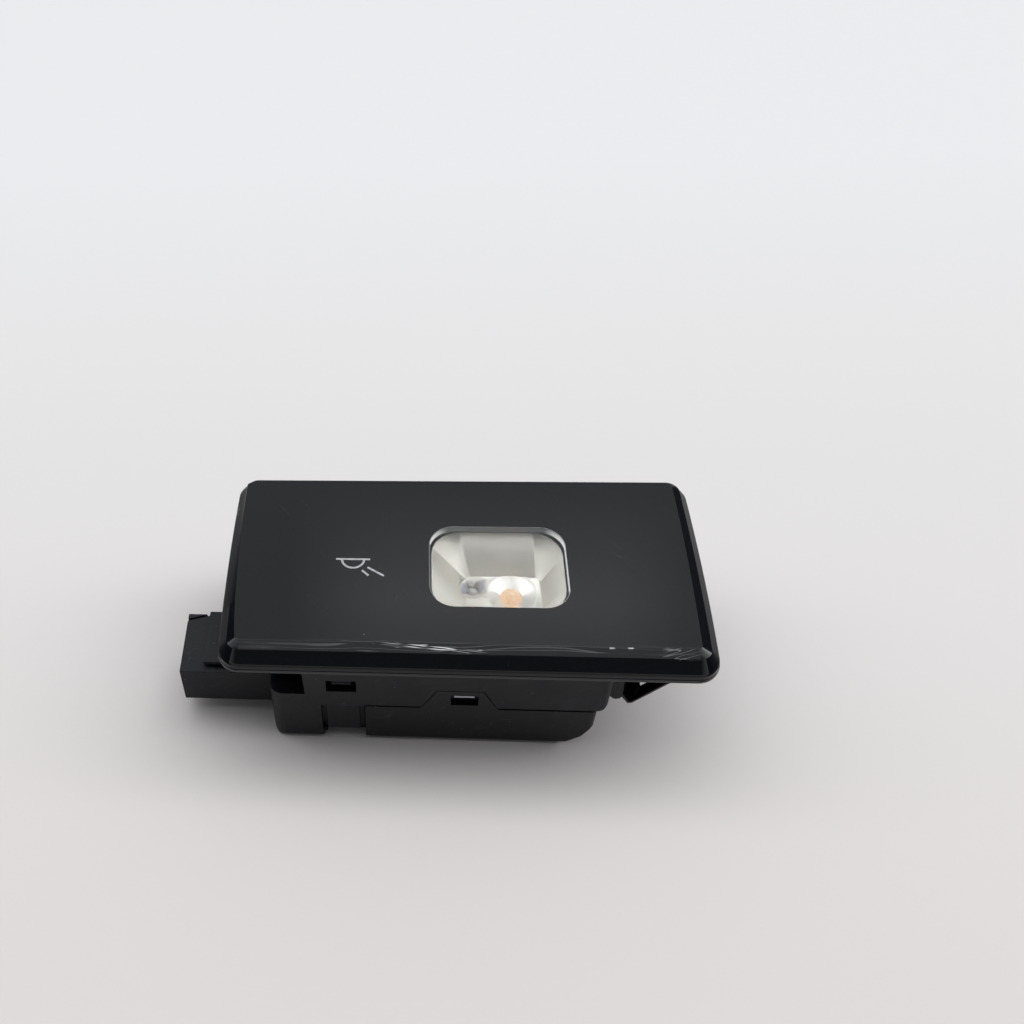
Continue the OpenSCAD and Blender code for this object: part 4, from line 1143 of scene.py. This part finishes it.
def room_light(scene):
    """A pale room: bright above and behind, dark in front, pale at both sides.

    The lean is the angle from straight up towards the front, in radians, below zero behind.
    """
    world = bpy.data.worlds.new("Pale Room")
    scene.world = world
    world.use_nodes = True
    tree = world.node_tree
    back = tree.nodes["Background"]
    x, y, z = axes(tree, put(tree, "ShaderNodeTexCoord").outputs["Generated"])
    lean = maths(tree, "ARCTAN2", times(tree, y, -1.0), z)
    arch = ramp(tree, lean, -1.6, 1.6, [
        (-1.55, 0.75), (-0.95, 0.68), (-0.757, 0.67), (-0.707, 0.98), (-0.66, 1.28), (-0.637, 1.06),
        (-0.6, 0.95), (-0.56, 2.1), (-0.5, 2.9), (-0.38, 2.9), (-0.2, 1.75), (-0.05, 1.2), (0.1, 1.0),
        (0.14, 0.8), (0.22, 0.25), (0.4, 0.06), (0.8, 0.04), (1.2, 0.09), (1.5, 0.14)])
    band = ramp(tree, lean, -1.6, 1.6, [(-1.5, 0.0), (-1.2, 1.0), (-0.62, 1.0), (-0.55, 0.0)])
    screen = ramp(tree, x, -1.0, 1.0, [
        (-0.9, 0.4), (-0.5, 0.9), (-0.1, 1.0), (-0.05, 0.35), (-0.01, 0.0), (0.17, 0.0), (0.2, 0.35),
        (0.23, 0.8), (0.4, 0.8), (0.9, 0.4)])
    aside = ramp(tree, x, -1.0, 1.0, [(-0.9, 0.8), (-0.35, 1.0), (0.25, 1.0), (0.5, 1.4), (0.9, 1.8)])
    level = mix_levels(tree, times(tree, band, screen), arch, 0.63)
    level = times(tree, level, aside)
    sideways = remap(tree, maths(tree, "ABSOLUTE", x), 0.4, 0.7)
    wall = times(tree, remap(tree, z, 0.34, 0.24), sideways)
    level = mix_levels(tree, wall, level, 0.7)
    tree.links.new(level, back.inputs["Strength"])
    back.inputs["Color"].default_value = (0.985, 0.99, 1.0, 1)


class DOME_OT_stage(bpy.types.Operator):
    """Sets the floor, the room's light and the camera"""

    bl_idname = "dome.stage"
    bl_label = "Stage"

    def execute(self, context):
        scene = context.scene
        stage = scene.dome_stage
        deselect_all()
        bpy.ops.mesh.primitive_plane_add(size=stage.floor_size, location=(0, 0, 0))
        floor = context.object
        floor.name = "studio_floor"
        floor.data.materials.append(floor_material())
        room_light(scene)
        deselect_all()
        bpy.ops.object.camera_add(location=stage.eye, rotation=Euler(stage.turn))
        camera = context.object
        camera.data.sensor_width = 36
        camera.data.lens = stage.lens
        camera.data.shift_x = stage.shift
        camera.data.clip_start = 5 * MM
        scene.camera = camera
        scene.view_settings.view_transform = "Standard"
        return {"FINISHED"}


class DOME_PT_panel(bpy.types.Panel):
    """Lists the steps in the sidebar"""

    bl_idname = "DOME_PT_panel"
    bl_label = "Dome Light"
    bl_space_type = "VIEW_3D"
    bl_region_type = "UI"
    bl_category = "Dome Light"

    def draw(self, context):
        for operator in OPERATORS:
            self.layout.operator(operator.bl_idname)
        for name in ("corner", "bow", "inset"):
            self.layout.prop(context.scene.dome_cover, name)
        for name in ("gloss", "grained", "mirror", "sign"):
            self.layout.prop(context.scene.dome_finish, name)


OPERATORS = (DOME_OT_stage, DOME_OT_cover, DOME_OT_window, DOME_OT_sign, DOME_OT_reflector, DOME_OT_housing,
             DOME_OT_socket, DOME_OT_clips, DOME_OT_board)
SETTINGS = {"dome_cover": DomeCoverSettings, "dome_housing": DomeHousingSettings,
            "dome_finish": DomeFinishSettings, "dome_stage": DomeStageSettings}


def register():
    for settings in SETTINGS.values():
        bpy.utils.register_class(settings)
    for operator in OPERATORS:
        bpy.utils.register_class(operator)
    bpy.utils.register_class(DOME_PT_panel)
    for name, settings in SETTINGS.items():
        setattr(bpy.types.Scene, name, bpy.props.PointerProperty(type=settings))


def unregister():
    for name in SETTINGS:
        delattr(bpy.types.Scene, name)
    bpy.utils.unregister_class(DOME_PT_panel)
    for operator in reversed(OPERATORS):
        bpy.utils.unregister_class(operator)
    for settings in SETTINGS.values():
        bpy.utils.unregister_class(settings)


def main():
    register()
    bpy.ops.dome.stage()
    bpy.ops.dome.cover()
    bpy.ops.dome.window()
    bpy.ops.dome.sign()
    bpy.ops.dome.reflector()
    bpy.ops.dome.housing()
    bpy.ops.dome.socket()
    bpy.ops.dome.clips()
    bpy.ops.dome.board()


if __name__ == "__main__":
    main()
